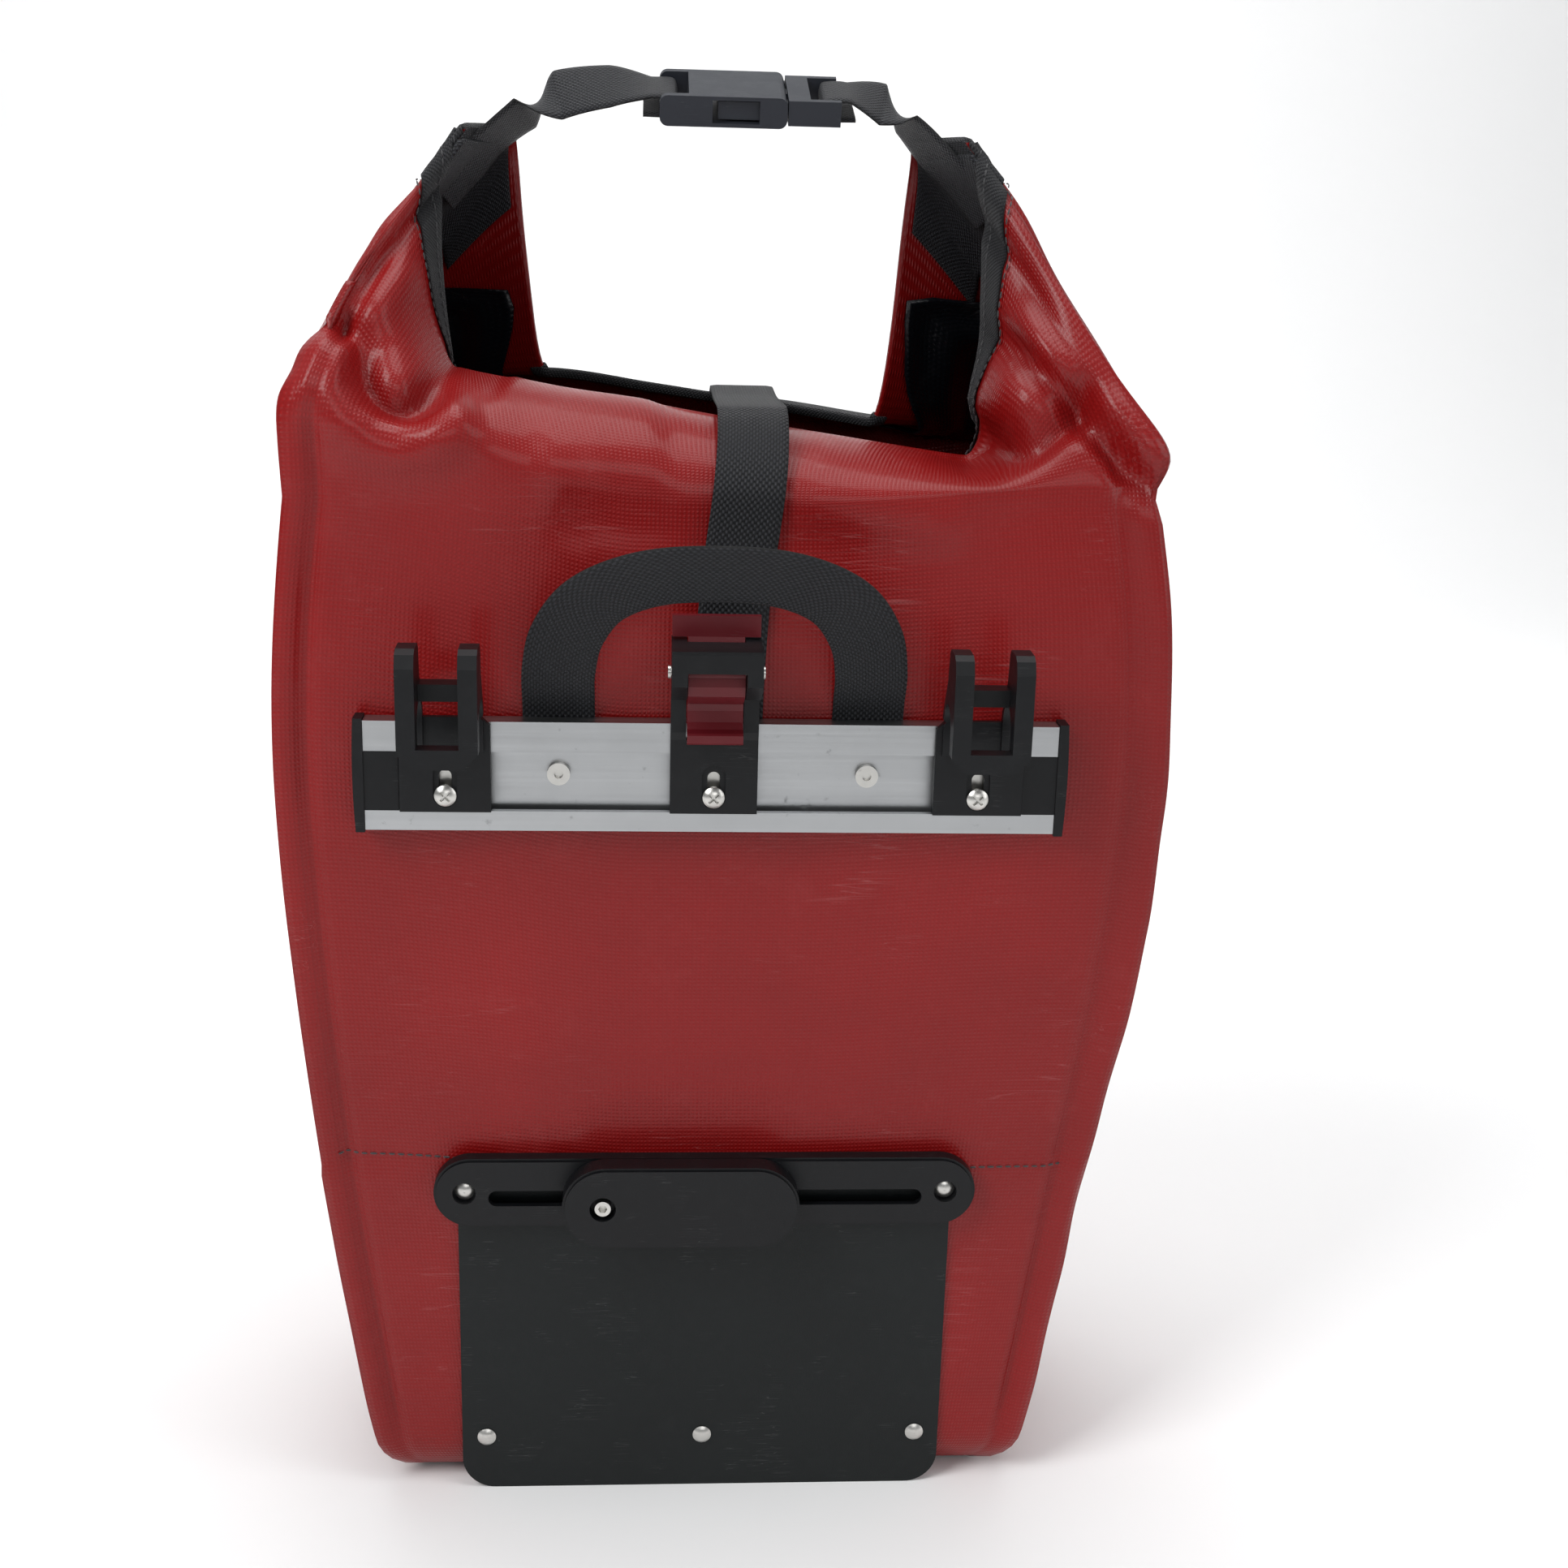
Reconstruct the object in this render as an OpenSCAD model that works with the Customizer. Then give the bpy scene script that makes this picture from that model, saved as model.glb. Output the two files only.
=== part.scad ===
// Roll-top pannier bag with an aluminium rack rail, two hooks, a catch and a swivelling lower arm.
// +Z up, +X to the right seen from the rack side, the rack side faces -Y, origin on the floor.

/* [Bag] */
// Width of the bag at its widest, at the rail
bag_w = 310; // [280:1:360]
// Width of the bag at the floor
base_w = 248; // [220:1:270]
// Depth of the bag at the rail
bag_d = 165; // [140:1:190]
// Depth of the bag at the floor
base_d = 150; // [130:1:165]
// Height of the shoulders, where the mouth begins to close
shoulder_z = 392; // [380:1:410]
// Height of the mouth's low middle above the shoulders
mouth_rise = 37; // [30:1:46]
// Height of the two lifted mouth ends above the mouth's low middle
peak_rise = 87; // [80:1:110]
// Half distance between the lifted mouth ends
peak_x = 82; // [74:1:86]
// Thickness of the coated fabric
wall = 2; // [1.6:0.1:2.6]
// Thickness of the base panel
base_t = 3; // [2:0.5:4]
// Thickness of the stiffener board behind the rack panel
board_t = 3; // [2:0.5:4]

/* [Rail] */
// Length of the aluminium rail
rail_l = 246; // [235:1:260]
// Height of the rail
rail_h = 40; // [38:1:42]
// Depth of the rail
rail_d = 8; // [7.5:0.1:9]
// Depth of the rail's centre line below the shoulders
rail_drop = 96; // [90:1:110]
// Distance of each rail bolt from the rail's end
bolt_in = 68; // [64:1:72]
// Thickness of an end cap beyond the rail
cap_t = 4; // [3:0.5:6]

/* [Hooks and catch] */
// Distance of each hook's side from the rail's end
hook_in = 12.5; // [12:0.5:18]
// Radius of the tube seat in the hooks
seat_r = 8.2; // [7:0.1:8.2]
// Width of a hook's base plate
hook_w = 32; // [30:0.5:34]
// Width across the two ears of a hook
ears_w = 27.5; // [26:0.5:29]
// Thickness of one ear
ear_t = 6.5; // [5.5:0.5:7]
// Width of the catch housing
catch_w = 31; // [30:0.5:33]
// Width of the window in the catch housing
window_w = 20.2; // [19:0.1:21]
// Radius of the catch's pivot pin
pin_r = 1.5; // [1.3:0.1:1.7]

/* [Lower fixing] */
// Length of the slotted track strip
strip_l = 205; // [190:1:220]
// Height of the track strip
strip_h = 28; // [26:0.5:30]
// Thickness of the track strip
strip_t = 6; // [6:0.5:8]
// Height of the track strip's centre line
strip_z = 132; // [126:1:138]
// Length of the slot
slot_l = 164; // [150:1:166]
// Width of the slot
slot_w = 6.4; // [6.2:0.1:7]
// Length of the swivelling arm
arm_l = 89; // [80:1:96]
// Height of the arm
arm_h = 33; // [30:0.5:34]
// Thickness of the arm
arm_t = 9; // [8:0.5:10]
// Width of the scuff plate
plate_w = 188; // [178:1:196]
// Thickness of the scuff plate
plate_t = 2.5; // [2:0.5:3]

/* [Webbing and buckles] */
// Width of all the webbing
web_w = 25; // [23:0.5:27]
// Thickness of the webbing
web_t = 1.6; // [1.4:0.1:1.8]
// Distance of the top buckle's parting from the middle
buckle_x = 25; // [10:1:30]
// Length of a buckle socket
socket_l = 46; // [42:1:48]
// Width of a buckle socket
socket_w = 33; // [32:0.5:36]
// Thickness of a buckle socket
socket_t = 11; // [10.5:0.5:12]

/* [Hidden] */

$fn = 48;
fit = 0.15;              // gap between pieces that are bolted or sewn together
run = 0.3;               // gap between pieces that move past each other

// planes from the bag outwards, towards the rack (all on the -Y side)
face_y = -80;
mouth_z = shoulder_z + mouth_rise;
peak_z = mouth_z + peak_rise;
rim_y = face_y + bag_d / 2 - 0.5;        // middle of the mouth
rim_half = bag_d / 2 - 36.5;             // half the mouth's depth
rail_back = face_y - web_t - 2 * fit;
rail_front = rail_back - rail_d;
foot_y = rail_front - 2.5;               // front of the hooks' base plates
seat_y = foot_y - seat_r - 1.6;          // centre of the rack tube
lip_t = 6.6;                             // the hooks' front lip
nose_y = seat_y - seat_r - lip_t;        // front of the hooks' ears
board_y = face_y + wall + fit;           // outer face of the stiffener board
road_y = face_y + bag_d;

// places that follow the rail
rail_z = shoulder_z - rail_drop;
hook_x = rail_l / 2 - hook_in - hook_w / 2;
bolt_x = rail_l / 2 - bolt_in;
rail_top = rail_z + rail_h / 2;
lip_low = rail_z - rail_h / 2 + 7.2;     // top of the rail's lower lip
lip_high = rail_z + rail_h / 2 - 11;     // bottom of the rail's upper lip
seat_z = rail_top + 2.8;                 // centre of the rack tube
screw_z = rail_z - 6.5;
ear_top = rail_top + 31;
hook_lip_z = rail_top - 10;
pin_z = rail_top + 22;
pin_y = seat_y - 1.2;

// ---------- the bag's shell ----------
z_mid = rail_z;
bend_r = 15;             // radius where the walls meet the floor
split = 25;              // rim angle of the panel seams
section_split = 38;      // the same seams on the body's section
squareness = 0.42;       // 1 is an ellipse, 0 a rectangle
side_puff = 8;           // how far a side panel stands out halfway back
seam = 0.0016;           // seam gap as a share of a panel's width
low_z = base_t + fit;    // lowest edge of the walls

function tuck(z) = z < bend_r ? bend_r - sqrt(bend_r * bend_r - pow(bend_r - z, 2)) : 0;
function half_w(z) = z < z_mid
    ? bag_w / 2 - (bag_w - base_w) / 2 * pow((z_mid - z) / z_mid, 1.6)
    : bag_w / 2 - 8 * pow((z - z_mid) / (shoulder_z - z_mid), 2);
function back_y(z) = z < z_mid
    ? road_y - (bag_d - base_d) * pow((z_mid - z) / z_mid, 2)
    : road_y - 8 * pow((z - z_mid) / (shoulder_z - z_mid), 2);
function sgn_pow(v, e) = sign(v) * pow(abs(v), e);

// a point on the section of the body; a = 0..180 runs right, road side, left
function hull_pt(a, z, in) = let (
    w = half_w(z) - tuck(z) - in,
    y0 = face_y + tuck(z) + in,
    y1 = back_y(z) - tuck(z) - in,
    f = pow(max(sin(a), 0), squareness))
    [sgn_pow(cos(a), squareness) * w + sign(cos(a)) * side_puff * sin(180 * f), y0 + (y1 - y0) * f];
// the angle of a point a share v of the way back along a side panel
function side_angle(v) = asin(pow(pow(sin(section_split), squareness) * v, 1 / squareness));

road_dip = 13;           // how much lower the rim lies on the road side
// a point of the rim; r = 0 at the right end, 90 road side, 180 left end, 270 rack side
function rim_pt(r, in) = let (
    c = cos(r), s = sin(r),
    lift = pow(abs(c), 10),
    low = mouth_z - road_dip * max(s, 0))
    [c * (peak_x - in + 64 * s * s - 29 * s), rim_y + (rim_half - in) * s - 1.2 * in * s * lift,
     low + (peak_z - low) * lift - in * (1 - lift)];

// the mouth's ends are parted from the panels level here, because they move when the buckle opens
horn_z = mouth_z + 21;

// place on the closing top: t = 0 at the shoulder, 1 at the rim
function stiff(r) = pow(abs(cos(r)), 6);
function rise(r, t) = (1 - stiff(r)) * sin(90 * t) + stiff(r) * pow(t, 0.9);
function top_pt(p, r, t, in) = let (
    q = rim_pt(r, in),
    h = (1 - stiff(r)) * (1 - cos(90 * t)) + stiff(r) * pow(t, 2.6))
    [p[0] + (q[0] - p[0]) * h, p[1] + (q[1] - p[1]) * h,
     shoulder_z + (q[2] - shoulder_z) * rise(r, t)];
// the t at which a line up the closing top reaches height z, found by halving
function find_t(r, share, low, high, n) = let (mid = (low + high) / 2)
    n == 0 ? mid
    : rise(r, mid) < share ? find_t(r, share, mid, high, n - 1)
    : find_t(r, share, low, mid, n - 1);
function cut_t(r, in, z) = let (q = rim_pt(r, in))
    q[2] <= z ? 1 : find_t(r, (z - shoulder_z) / (q[2] - shoulder_z), 0, 1, 22);

// side k: 0 right, 1 road, 2 left, 3 rack; v = 0..1 across it
function side_xy(k, v, z, in) =
    k == 0 ? hull_pt(side_angle(v), z, in)
    : k == 1 ? hull_pt(section_split + (180 - 2 * section_split) * v, z, in)
    : k == 2 ? hull_pt(180 - side_angle(1 - v), z, in)
    : [(2 * v - 1) * (half_w(z) - tuck(z) - in), face_y + tuck(z) + in];
function side_r(k, v) =
    k == 0 ? -split + 2 * split * v
    : k == 1 ? split + (180 - 2 * split) * v
    : k == 2 ? 180 - split + 2 * split * v
    : 180 + split + (180 - 2 * split) * v;
function shell_pt(k, v, row, in) = row < len(body_z)
    ? concat(side_xy(k, v, body_z[row], in), [body_z[row]])
    : let (r = side_r(k, v), t = (row - len(body_z) + 1) / top_rows * cut_t(r, in, horn_z))
        top_pt(side_xy(k, v, shoulder_z, in), r, t, in);

body_z = concat([low_z, 6, 10, bend_r], [for (i = [1 : 7]) bend_r + (shoulder_z - bend_r) * i / 7]);
top_rows = 10;
last_row = len(body_z) + top_rows - 1;

// closes a grid of outer and inner points, n across and m up, into one solid
function grid_faces(n, m) = let (s = n * m) concat(
    [for (j = [0 : m - 2]) for (i = [0 : n - 2]) each
        [[j * n + i, (j + 1) * n + i, j * n + i + 1], [j * n + i + 1, (j + 1) * n + i, (j + 1) * n + i + 1],
         [s + j * n + i, s + j * n + i + 1, s + (j + 1) * n + i],
         [s + j * n + i + 1, s + (j + 1) * n + i + 1, s + (j + 1) * n + i]]],
    [for (i = [0 : n - 2]) each
        [[i, i + 1, s + i], [i + 1, s + i + 1, s + i],
         [(m - 1) * n + i, s + (m - 1) * n + i, (m - 1) * n + i + 1],
         [(m - 1) * n + i + 1, s + (m - 1) * n + i, s + (m - 1) * n + i + 1]]],
    [for (j = [0 : m - 2]) each
        [[j * n, s + j * n, (j + 1) * n], [s + j * n, s + (j + 1) * n, (j + 1) * n],
         [j * n + n - 1, (j + 1) * n + n - 1, s + j * n + n - 1],
         [s + j * n + n - 1, (j + 1) * n + n - 1, s + (j + 1) * n + n - 1]]]);
module grid_solid(outer, inner, n, m) {
    polyhedron(points = concat(outer, inner), faces = grid_faces(n, m), convexity = 8);
}
function across(k, i, n) = let (gap = k % 2 == 1 ? seam : 0) gap + (1 - 2 * gap) * i / (n - 1);
module shell_sheet(k, n) {
    m = last_row + 1;
    grid_solid([for (j = [0 : m - 1]) for (i = [0 : n - 1]) shell_pt(k, across(k, i, n), j, 0)],
        [for (j = [0 : m - 1]) for (i = [0 : n - 1]) shell_pt(k, across(k, i, n), j, wall)], n, m);
}
module rack_panel() {
    color("firebrick")
        difference() {
            shell_sheet(3, 21);
            wall_holes();
        }
}
module side_panel(k) {
    color("firebrick")
        shell_sheet(k, 13);
}
module side_panel_left() {
    side_panel(2);
}
module side_panel_right() {
    side_panel(0);
}
module road_panel() {
    color("firebrick")
        shell_sheet(1, 23);
}
module base_panel() {
    outline = [for (a = [0 : 6 : 180]) hull_pt(a, base_t, 0)];
    color("firebrick")
        linear_extrude(base_t)
            polygon(outline);
}
// the sheet round the right end of the mouth, across the seams; r runs either side of the end
function end_xy(r, in) =
    abs(r) <= split ? side_xy(0, (r + split) / (2 * split), shoulder_z, in)
    : r > 0 ? side_xy(1, (r - split) / (180 - 2 * split), shoulder_z, in)
    : side_xy(3, 1 - (-r - split) / (180 - 2 * split), shoulder_z, in);
// how far round each way from the mouth's end the rim stands above the parting height
end_reach = acos(pow((horn_z + 2 - mouth_z) / (peak_z - mouth_z), 0.1));
function end_pt(r, t, in) = let (t0 = cut_t(r, in, horn_z + fit))
    top_pt(end_xy(r, in), r, t0 + (1 - t0) * t, in);
module mouth_end(side) {
    n = 25;
    m = top_rows;
    rs = [for (i = [0 : n - 1]) end_reach * (2 * i / (n - 1) - 1)];
    color("firebrick")
        mirror([side > 0 ? 0 : 1, 0, 0])
            grid_solid(
                [for (j = [0 : m - 1]) for (r = rs) end_pt(r, j / (m - 1), 0)],
                [for (j = [0 : m - 1]) for (r = rs) end_pt(r, j / (m - 1), wall)], n, m);
}
module mouth_end_left() {
    mouth_end(-1);
}
module mouth_end_right() {
    mouth_end(1);
}

// a webbing band just inside the rim
band_h = 20;
band_t = 1.4;
function band_pt(r, in, drop) = let (
    q = rim_pt(r, wall + run + in),
    z = q[2] - drop - 1.5 * (1 - pow(abs(cos(r)), 10)))
    [q[0], q[1], q[2] > horn_z ? max(z, horn_z + fit) : z];
module band(from, to, n) {
    top = [for (i = [0 : n - 1]) from + (to - from) * i / (n - 1)];
    grid_solid(
        [for (d = [band_h, 0]) for (r = top) band_pt(r, 0, d)],
        [for (d = [band_h, 0]) for (r = top) band_pt(r, band_t, d)], n, 2);
}
bind_gap = 1.5;          // parting of the binding, in degrees either side of the panels' parting
module rim_binding() {
    color("#1c1c20") {
        band(end_reach + bind_gap, 180 - end_reach - bind_gap, 25);
        band(180 + end_reach + bind_gap, 360 - end_reach - bind_gap, 25);
    }
}
module rim_binding_left() {
    color("#1c1c20")
        mirror([1, 0, 0])
            band(-end_reach + bind_gap, end_reach - bind_gap, 17);
}
module rim_binding_right() {
    color("#1c1c20")
        band(-end_reach + bind_gap, end_reach - bind_gap, 17);
}

// webbing patches sewn inside the lifted ends, turned to lie along the slanting rim
patch_x = peak_x - wall - band_t - 2 * run - 1.4;
patch_h = 40;
patch_w = 12;
module end_patch(side) {
    color("#202024")
        translate([side * patch_x, rim_y, peak_z + 6 - patch_h / 2])
            rotate([0, 0, side * 32])
                cube([web_t, patch_w, patch_h], center = true);
}
module end_patch_left() {
    end_patch(-1);
}
module end_patch_right() {
    end_patch(1);
}

// ---------- stiffener board and scuff plate ----------
board_low = 22;
board_w = 2 * half_w(board_low) - 28;
board_high = rail_top + 24;
module rounded_plate(w, z0, z1, r, y, t) {
    translate([0, y + t, 0])
        rotate([90, 0, 0])
            linear_extrude(t)
                hull() {
                    for (x = [-w / 2 + r, w / 2 - r]) for (z = [z0 + r, z1 - r])
                        translate([x, z])
                            circle(r);
                }
}
module y_hole(x, z, r, y0, y1) {
    translate([x, y1, z])
        rotate([90, 0, 0])
            cylinder(r = r, h = y1 - y0);
}
shank_r = 1.9;
rivet_r = 1.5;
rivet_gap = strip_l - 23;
plate_rivet_x = 84.5;
plate_rivet_z = 23;
module wall_holes() {
    for (x = [-bolt_x, bolt_x])
        y_hole(x, rail_z, shank_r + fit, face_y - 20, face_y + 20);
    for (x = [-rivet_gap / 2, rivet_gap / 2])
        y_hole(x, strip_z, rivet_r + fit, face_y - 20, face_y + 20);
    for (x = [-plate_rivet_x, 0, plate_rivet_x])
        y_hole(x, plate_rivet_z, rivet_r + fit, face_y - 20, face_y + 20);
}
module stiffener_board() {
    color("#2a2a2a")
        difference() {
            rounded_plate(board_w, board_low - 6, board_high, 12, board_y, board_t);
            wall_holes();
        }
}
plate_y = face_y - fit - plate_t;
module scuff_plate() {
    color("#26282b")
        difference() {
            union() {
                rounded_plate(plate_w, 0, strip_z, 13, plate_y, plate_t);
                translate([-plate_w / 2, plate_y, strip_z - 30])
                    cube([plate_w, plate_t, 30]);
            }
            wall_holes();
            translate([-slot_l / 2 - 6, plate_y - 1, strip_z - 7.5])
                cube([slot_l + 12, plate_t + 2, 10]);
        }
}

// ---------- rail ----------
mouth_d = 2.5;           // depth of the channel's mouth
cavity_d = 3.4;          // depth of the wider channel behind it
cavity_low = lip_low - 3;
cavity_high = lip_high + 4;
module rail() {
    color("#c9cccf")
        difference() {
            translate([-rail_l / 2, rail_front, rail_z - rail_h / 2])
                cube([rail_l, rail_d, rail_h]);
            translate([-rail_l / 2 - 1, rail_front - 1, lip_low])
                cube([rail_l + 2, mouth_d + 1.01, lip_high - lip_low]);
            translate([-rail_l / 2 - 1, rail_front + mouth_d, cavity_low])
                cube([rail_l + 2, cavity_d, cavity_high - cavity_low]);
            for (x = [-bolt_x, bolt_x])
                y_hole(x, rail_z, shank_r + fit, rail_front - 1, rail_back + 1);
        }
}
tongue_l = 12;
module end_cap(side) {
    bow = 330;
    color("#1d1d1f")
        scale([side, 1, 1])
            union() {
                intersection() {
                    translate([rail_l / 2 + cap_t - bow, rail_back, rail_z])
                        rotate([90, 0, 0])
                            cylinder(r = bow, h = rail_d + 0.6, $fn = 200);
                    translate([rail_l / 2 + fit, rail_front - 0.6, rail_z - rail_h / 2 - 0.8])
                        cube([cap_t + 2, rail_d + 0.6, rail_h + 1.6]);
                }
                translate([rail_l / 2 - tongue_l, rail_front, lip_low + fit])
                    cube([tongue_l + fit + 0.1, mouth_d + 1, lip_high - lip_low - 2 * fit]);
            }
}
module rail_end_cap_left() {
    end_cap(-1);
}
module rail_end_cap_right() {
    end_cap(1);
}
web_front = rail_front + mouth_d + cavity_d;    // front of the rail's back web
board_back = board_y + board_t;
module rail_bolts() {
    color("#d8d8d8")
        for (x = [-bolt_x, bolt_x])
            difference() {
                union() {
                    y_hole(x, rail_z, shank_r, web_front - 1, board_back + 5);
                    y_hole(x, rail_z, 4.1, web_front - 2.5, web_front - fit);
                }
                y_hole(x, rail_z, 1.6, web_front - 5, web_front - 1.2);
            }
}
module rail_nuts() {
    color("#b8b8b8")
        for (x = [-bolt_x, bolt_x])
            difference() {
                union() {
                    y_hole(x, rail_z, 7, board_back + fit, board_back + 1.2);
                    translate([x, board_back + 4.2, rail_z])
                        rotate([90, 0, 0])
                            cylinder(r = 4, h = 3.2, $fn = 6);
                }
                y_hole(x, rail_z, shank_r + 0.1, board_back - 1, board_back + 6);
            }
}

// ---------- hooks ----------
screw_r = 2;
head_r = 3.9;
recess_w = 8.4;
recess_top = lip_high - 3.5;
module base_plate(x, w) {
    translate([x - w / 2, foot_y, lip_low + run])
        cube([w, rail_front - foot_y - fit, rail_top + 2 - lip_low]);
    translate([x - w / 2, foot_y + 1, lip_low + run])
        cube([w, rail_front - foot_y + 1, lip_high - lip_low - 2 * run]);
}
module slot_hole(x, z0, z1, w, y0, y1) {
    translate([x - w / 2, y0, z0])
        cube([w, y1 - y0, z1 - z0]);
    y_hole(x, z0, w / 2, y0, y1);
    y_hole(x, z1, w / 2, y0, y1);
}
module foot_cuts(x) {
    slot_hole(x, screw_z, recess_top - recess_w / 2, recess_w, foot_y - 1, foot_y + 1.3);
    slot_hole(x, screw_z, screw_z + 7, 2 * screw_r + 0.5, foot_y - 1, rail_front + 8);
}
module x_prism(x, w) {
    translate([x - w / 2, 0, 0])
        rotate([90, 0, 90])
            linear_extrude(w)
                children();
}
module ear_profile() {
    difference() {
        polygon([[nose_y, hook_lip_z], [nose_y, ear_top - 6], [nose_y + 2, ear_top - 1.5],
            [nose_y + 5, ear_top], [nose_y + 14, ear_top], [nose_y + 16, ear_top - 2],
            [nose_y + 17.5, ear_top - 12], [foot_y + 1, rail_top + 6], [rail_front - fit, rail_top + 1],
            [rail_front - fit, hook_lip_z]]);
        translate([seat_y, seat_z])
            circle(seat_r);
        translate([seat_y - seat_r, hook_lip_z - 5])
            square([2 * seat_r, seat_z - hook_lip_z + 5]);
    }
}
module hook(x) {
    ear_off = (ears_w - ear_t) / 2;
    color("#202225")
        difference() {
            union() {
                for (s = [-1, 1])
                    x_prism(x + s * ear_off, ear_t)
                        ear_profile();
                translate([x - ears_w / 2 + 1, nose_y, hook_lip_z])
                    cube([ears_w - 2, lip_t, 7]);
                translate([x - ears_w / 2 + 1, seat_y - 3, seat_z + seat_r])
                    cube([ears_w - 2, 8, 6]);
                base_plate(x, hook_w);
            }
            foot_cuts(x);
            for (s = [-1, 1])
                translate([x + s * ears_w / 2, nose_y, hook_lip_z])
                    rotate([0, 45, 0])
                        cube([7.5, 2 * lip_t, 7.5], center = true);
            // chamfered shoulders of the base plate
            for (s = [-1, 1])
                translate([x + s * hook_w / 2, foot_y, rail_top + 2 + run])
                    rotate([0, 45, 0])
                        cube([4.4, 12, 4.4], center = true);
        }
}
module hook_left() {
    hook(-hook_x);
}
module hook_right() {
    hook(hook_x);
}
nut_t = cavity_d - 2 * run;
nut_y = rail_front + mouth_d + run;
module clamp_screw(x) {
    color("#d5d7da")
        difference() {
            union() {
                y_hole(x, screw_z, screw_r, foot_y, nut_y + nut_t - 0.1);
                intersection() {
                    y_hole(x, screw_z, head_r, foot_y - 1.6, foot_y + 1.3 - fit);
                    translate([x, foot_y + 3.8, screw_z])
                        sphere(r = 5.6, $fn = 64);
                }
            }
            for (a = [45, 135])
                translate([x, foot_y - 1.4, screw_z])
                    rotate([0, a, 0])
                        cube([4.6, 2.2, 0.9], center = true);
        }
}
module clamp_nut(x) {
    color("#9fa2a6")
        difference() {
            translate([x - 8, nut_y, cavity_low + run])
                cube([16, nut_t, cavity_high - cavity_low - 2 * run]);
            y_hole(x, screw_z, screw_r + 0.1, nut_y - 1, nut_y + nut_t + 1);
        }
}
module hook_screw_left() {
    clamp_screw(-hook_x);
}
module hook_screw_right() {
    clamp_screw(hook_x);
}
module hook_nut_left() {
    clamp_nut(-hook_x);
}
module hook_nut_right() {
    clamp_nut(hook_x);
}

// ---------- catch ----------
throat_z = seat_z + seat_r + 1.4;        // underside of the catch's nose
catch_top = rail_top + 32;
cheek_y = seat_y + seat_r + 0.5;         // front of the catch's cheeks behind the tube
module catch_profile() {
    polygon([[foot_y, lip_low + run], [foot_y, seat_z - 8], [cheek_y, seat_z - 5],
        [cheek_y, throat_z], [seat_y - 2, throat_z], [nose_y, throat_z + 7.5],
        [nose_y, catch_top - 1], [nose_y + 1, catch_top], [cheek_y + 3, catch_top],
        [rail_front - fit, catch_top - 6], [rail_front - fit, lip_low + run]]);
}
lever_w = window_w - 2 * run;
eye_r = 5;               // the lever's eye round its pin
module catch_housing() {
    color("#1b1c1e")
        difference() {
            union() {
                x_prism(0, catch_w)
                    catch_profile();
                base_plate(0, catch_w);
            }
            // the window, open behind for the lever's swing
            translate([-window_w / 2, nose_y - 1, rail_top - 5.5])
                cube([window_w, 60, catch_top - 7.5 - rail_top + 5.5]);
            // the slot in the roof that the lever's neck comes up through
            translate([-window_w / 2, pin_y + 2.6, catch_top - 20])
                cube([window_w, 60, 30]);
            translate([-window_w / 2, pin_y, pin_z])
                rotate([0, 90, 0])
                    cylinder(r = eye_r + run, h = window_w);
            foot_cuts(0);
            translate([-catch_w, pin_y, pin_z])
                rotate([0, 90, 0])
                    cylinder(r = pin_r + 0.03, h = 2 * catch_w);
        }
}
spring_gap = 6.4;
module lever_profile() {
    lip_z = seat_z - 8;
    polygon([[pin_y - 5, pin_z - 1], [pin_y - 5.5, pin_z - 4], [pin_y - 3, pin_z - 8],
        [cheek_y - 1, throat_z - 4], [cheek_y - 0.4, seat_z + 3], [cheek_y - 0.8, seat_z - 1],
        [cheek_y - 2.4, lip_z + 4.8], [seat_y + 3.3, lip_z + 4], [seat_y + 2.7, lip_z + 3.4],
        [seat_y + 2.7, lip_z + 0.6], [seat_y + 3.3, lip_z], [cheek_y - 2.5, lip_z],
        [cheek_y - 2.1, lip_z + 2.6], [cheek_y + 1.2, lip_z + 5], [cheek_y + 1.6, seat_z + 1],
        [cheek_y + 1.8, pin_z - 9], [pin_y + 4.6, pin_z - 2],
        [pin_y + 9.6, pin_z + 6], [pin_y + 9.6, catch_top + 7], [pin_y + 6.4, catch_top + 7],
        [pin_y + 6.4, catch_top + 1], [pin_y + 5.2, pin_z + 5], [pin_y + 2, pin_z + 2]]);
    translate([pin_y, pin_z])
        circle(eye_r);
}
module catch_lever() {
    color("#6d1420")
        difference() {
            union() {
                x_prism(0, lever_w)
                    lever_profile();
                translate([-catch_w / 2 + 0.2, pin_y + 6.4, catch_top + 1])
                    cube([catch_w - 0.4, 3.2, 7.4]);
            }
            translate([-20, pin_y, pin_z])
                rotate([0, 90, 0])
                    cylinder(r = pin_r + 0.06, h = 40);
            // room for the spring round the pin
            translate([-spring_gap / 2, pin_y, pin_z])
                rotate([0, 90, 0])
                    cylinder(r = 4.2, h = spring_gap);
            translate([-spring_gap / 2, pin_y - 1, pin_z])
                cube([spring_gap, 12, 4.4]);
        }
}
module catch_pin() {
    color("#c8ccd0")
        translate([-catch_w / 2 - 1.2, pin_y, pin_z])
            rotate([0, 90, 0]) {
                cylinder(r = pin_r, h = catch_w + 2.4);
                for (z = [0, catch_w + 2.4 - 1])
                    translate([0, 0, z])
                        cylinder(r = 2.3, h = 1);
            }
}
module catch_spring() {
    coil_r = 2.7;
    wire = 0.8;
    turns = 6;
    color("#8f9499")
        for (i = [0 : turns - 1])
            translate([-2.5 * (wire - 0.1) + i * (wire - 0.1), pin_y, pin_z])
                rotate([0, 90, 0])
                    rotate_extrude()
                        translate([coil_r, 0])
                            circle(r = wire / 2, $fn = 16);
}
module catch_screw() {
    clamp_screw(0);
}
module catch_nut() {
    clamp_nut(0);
}

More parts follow.
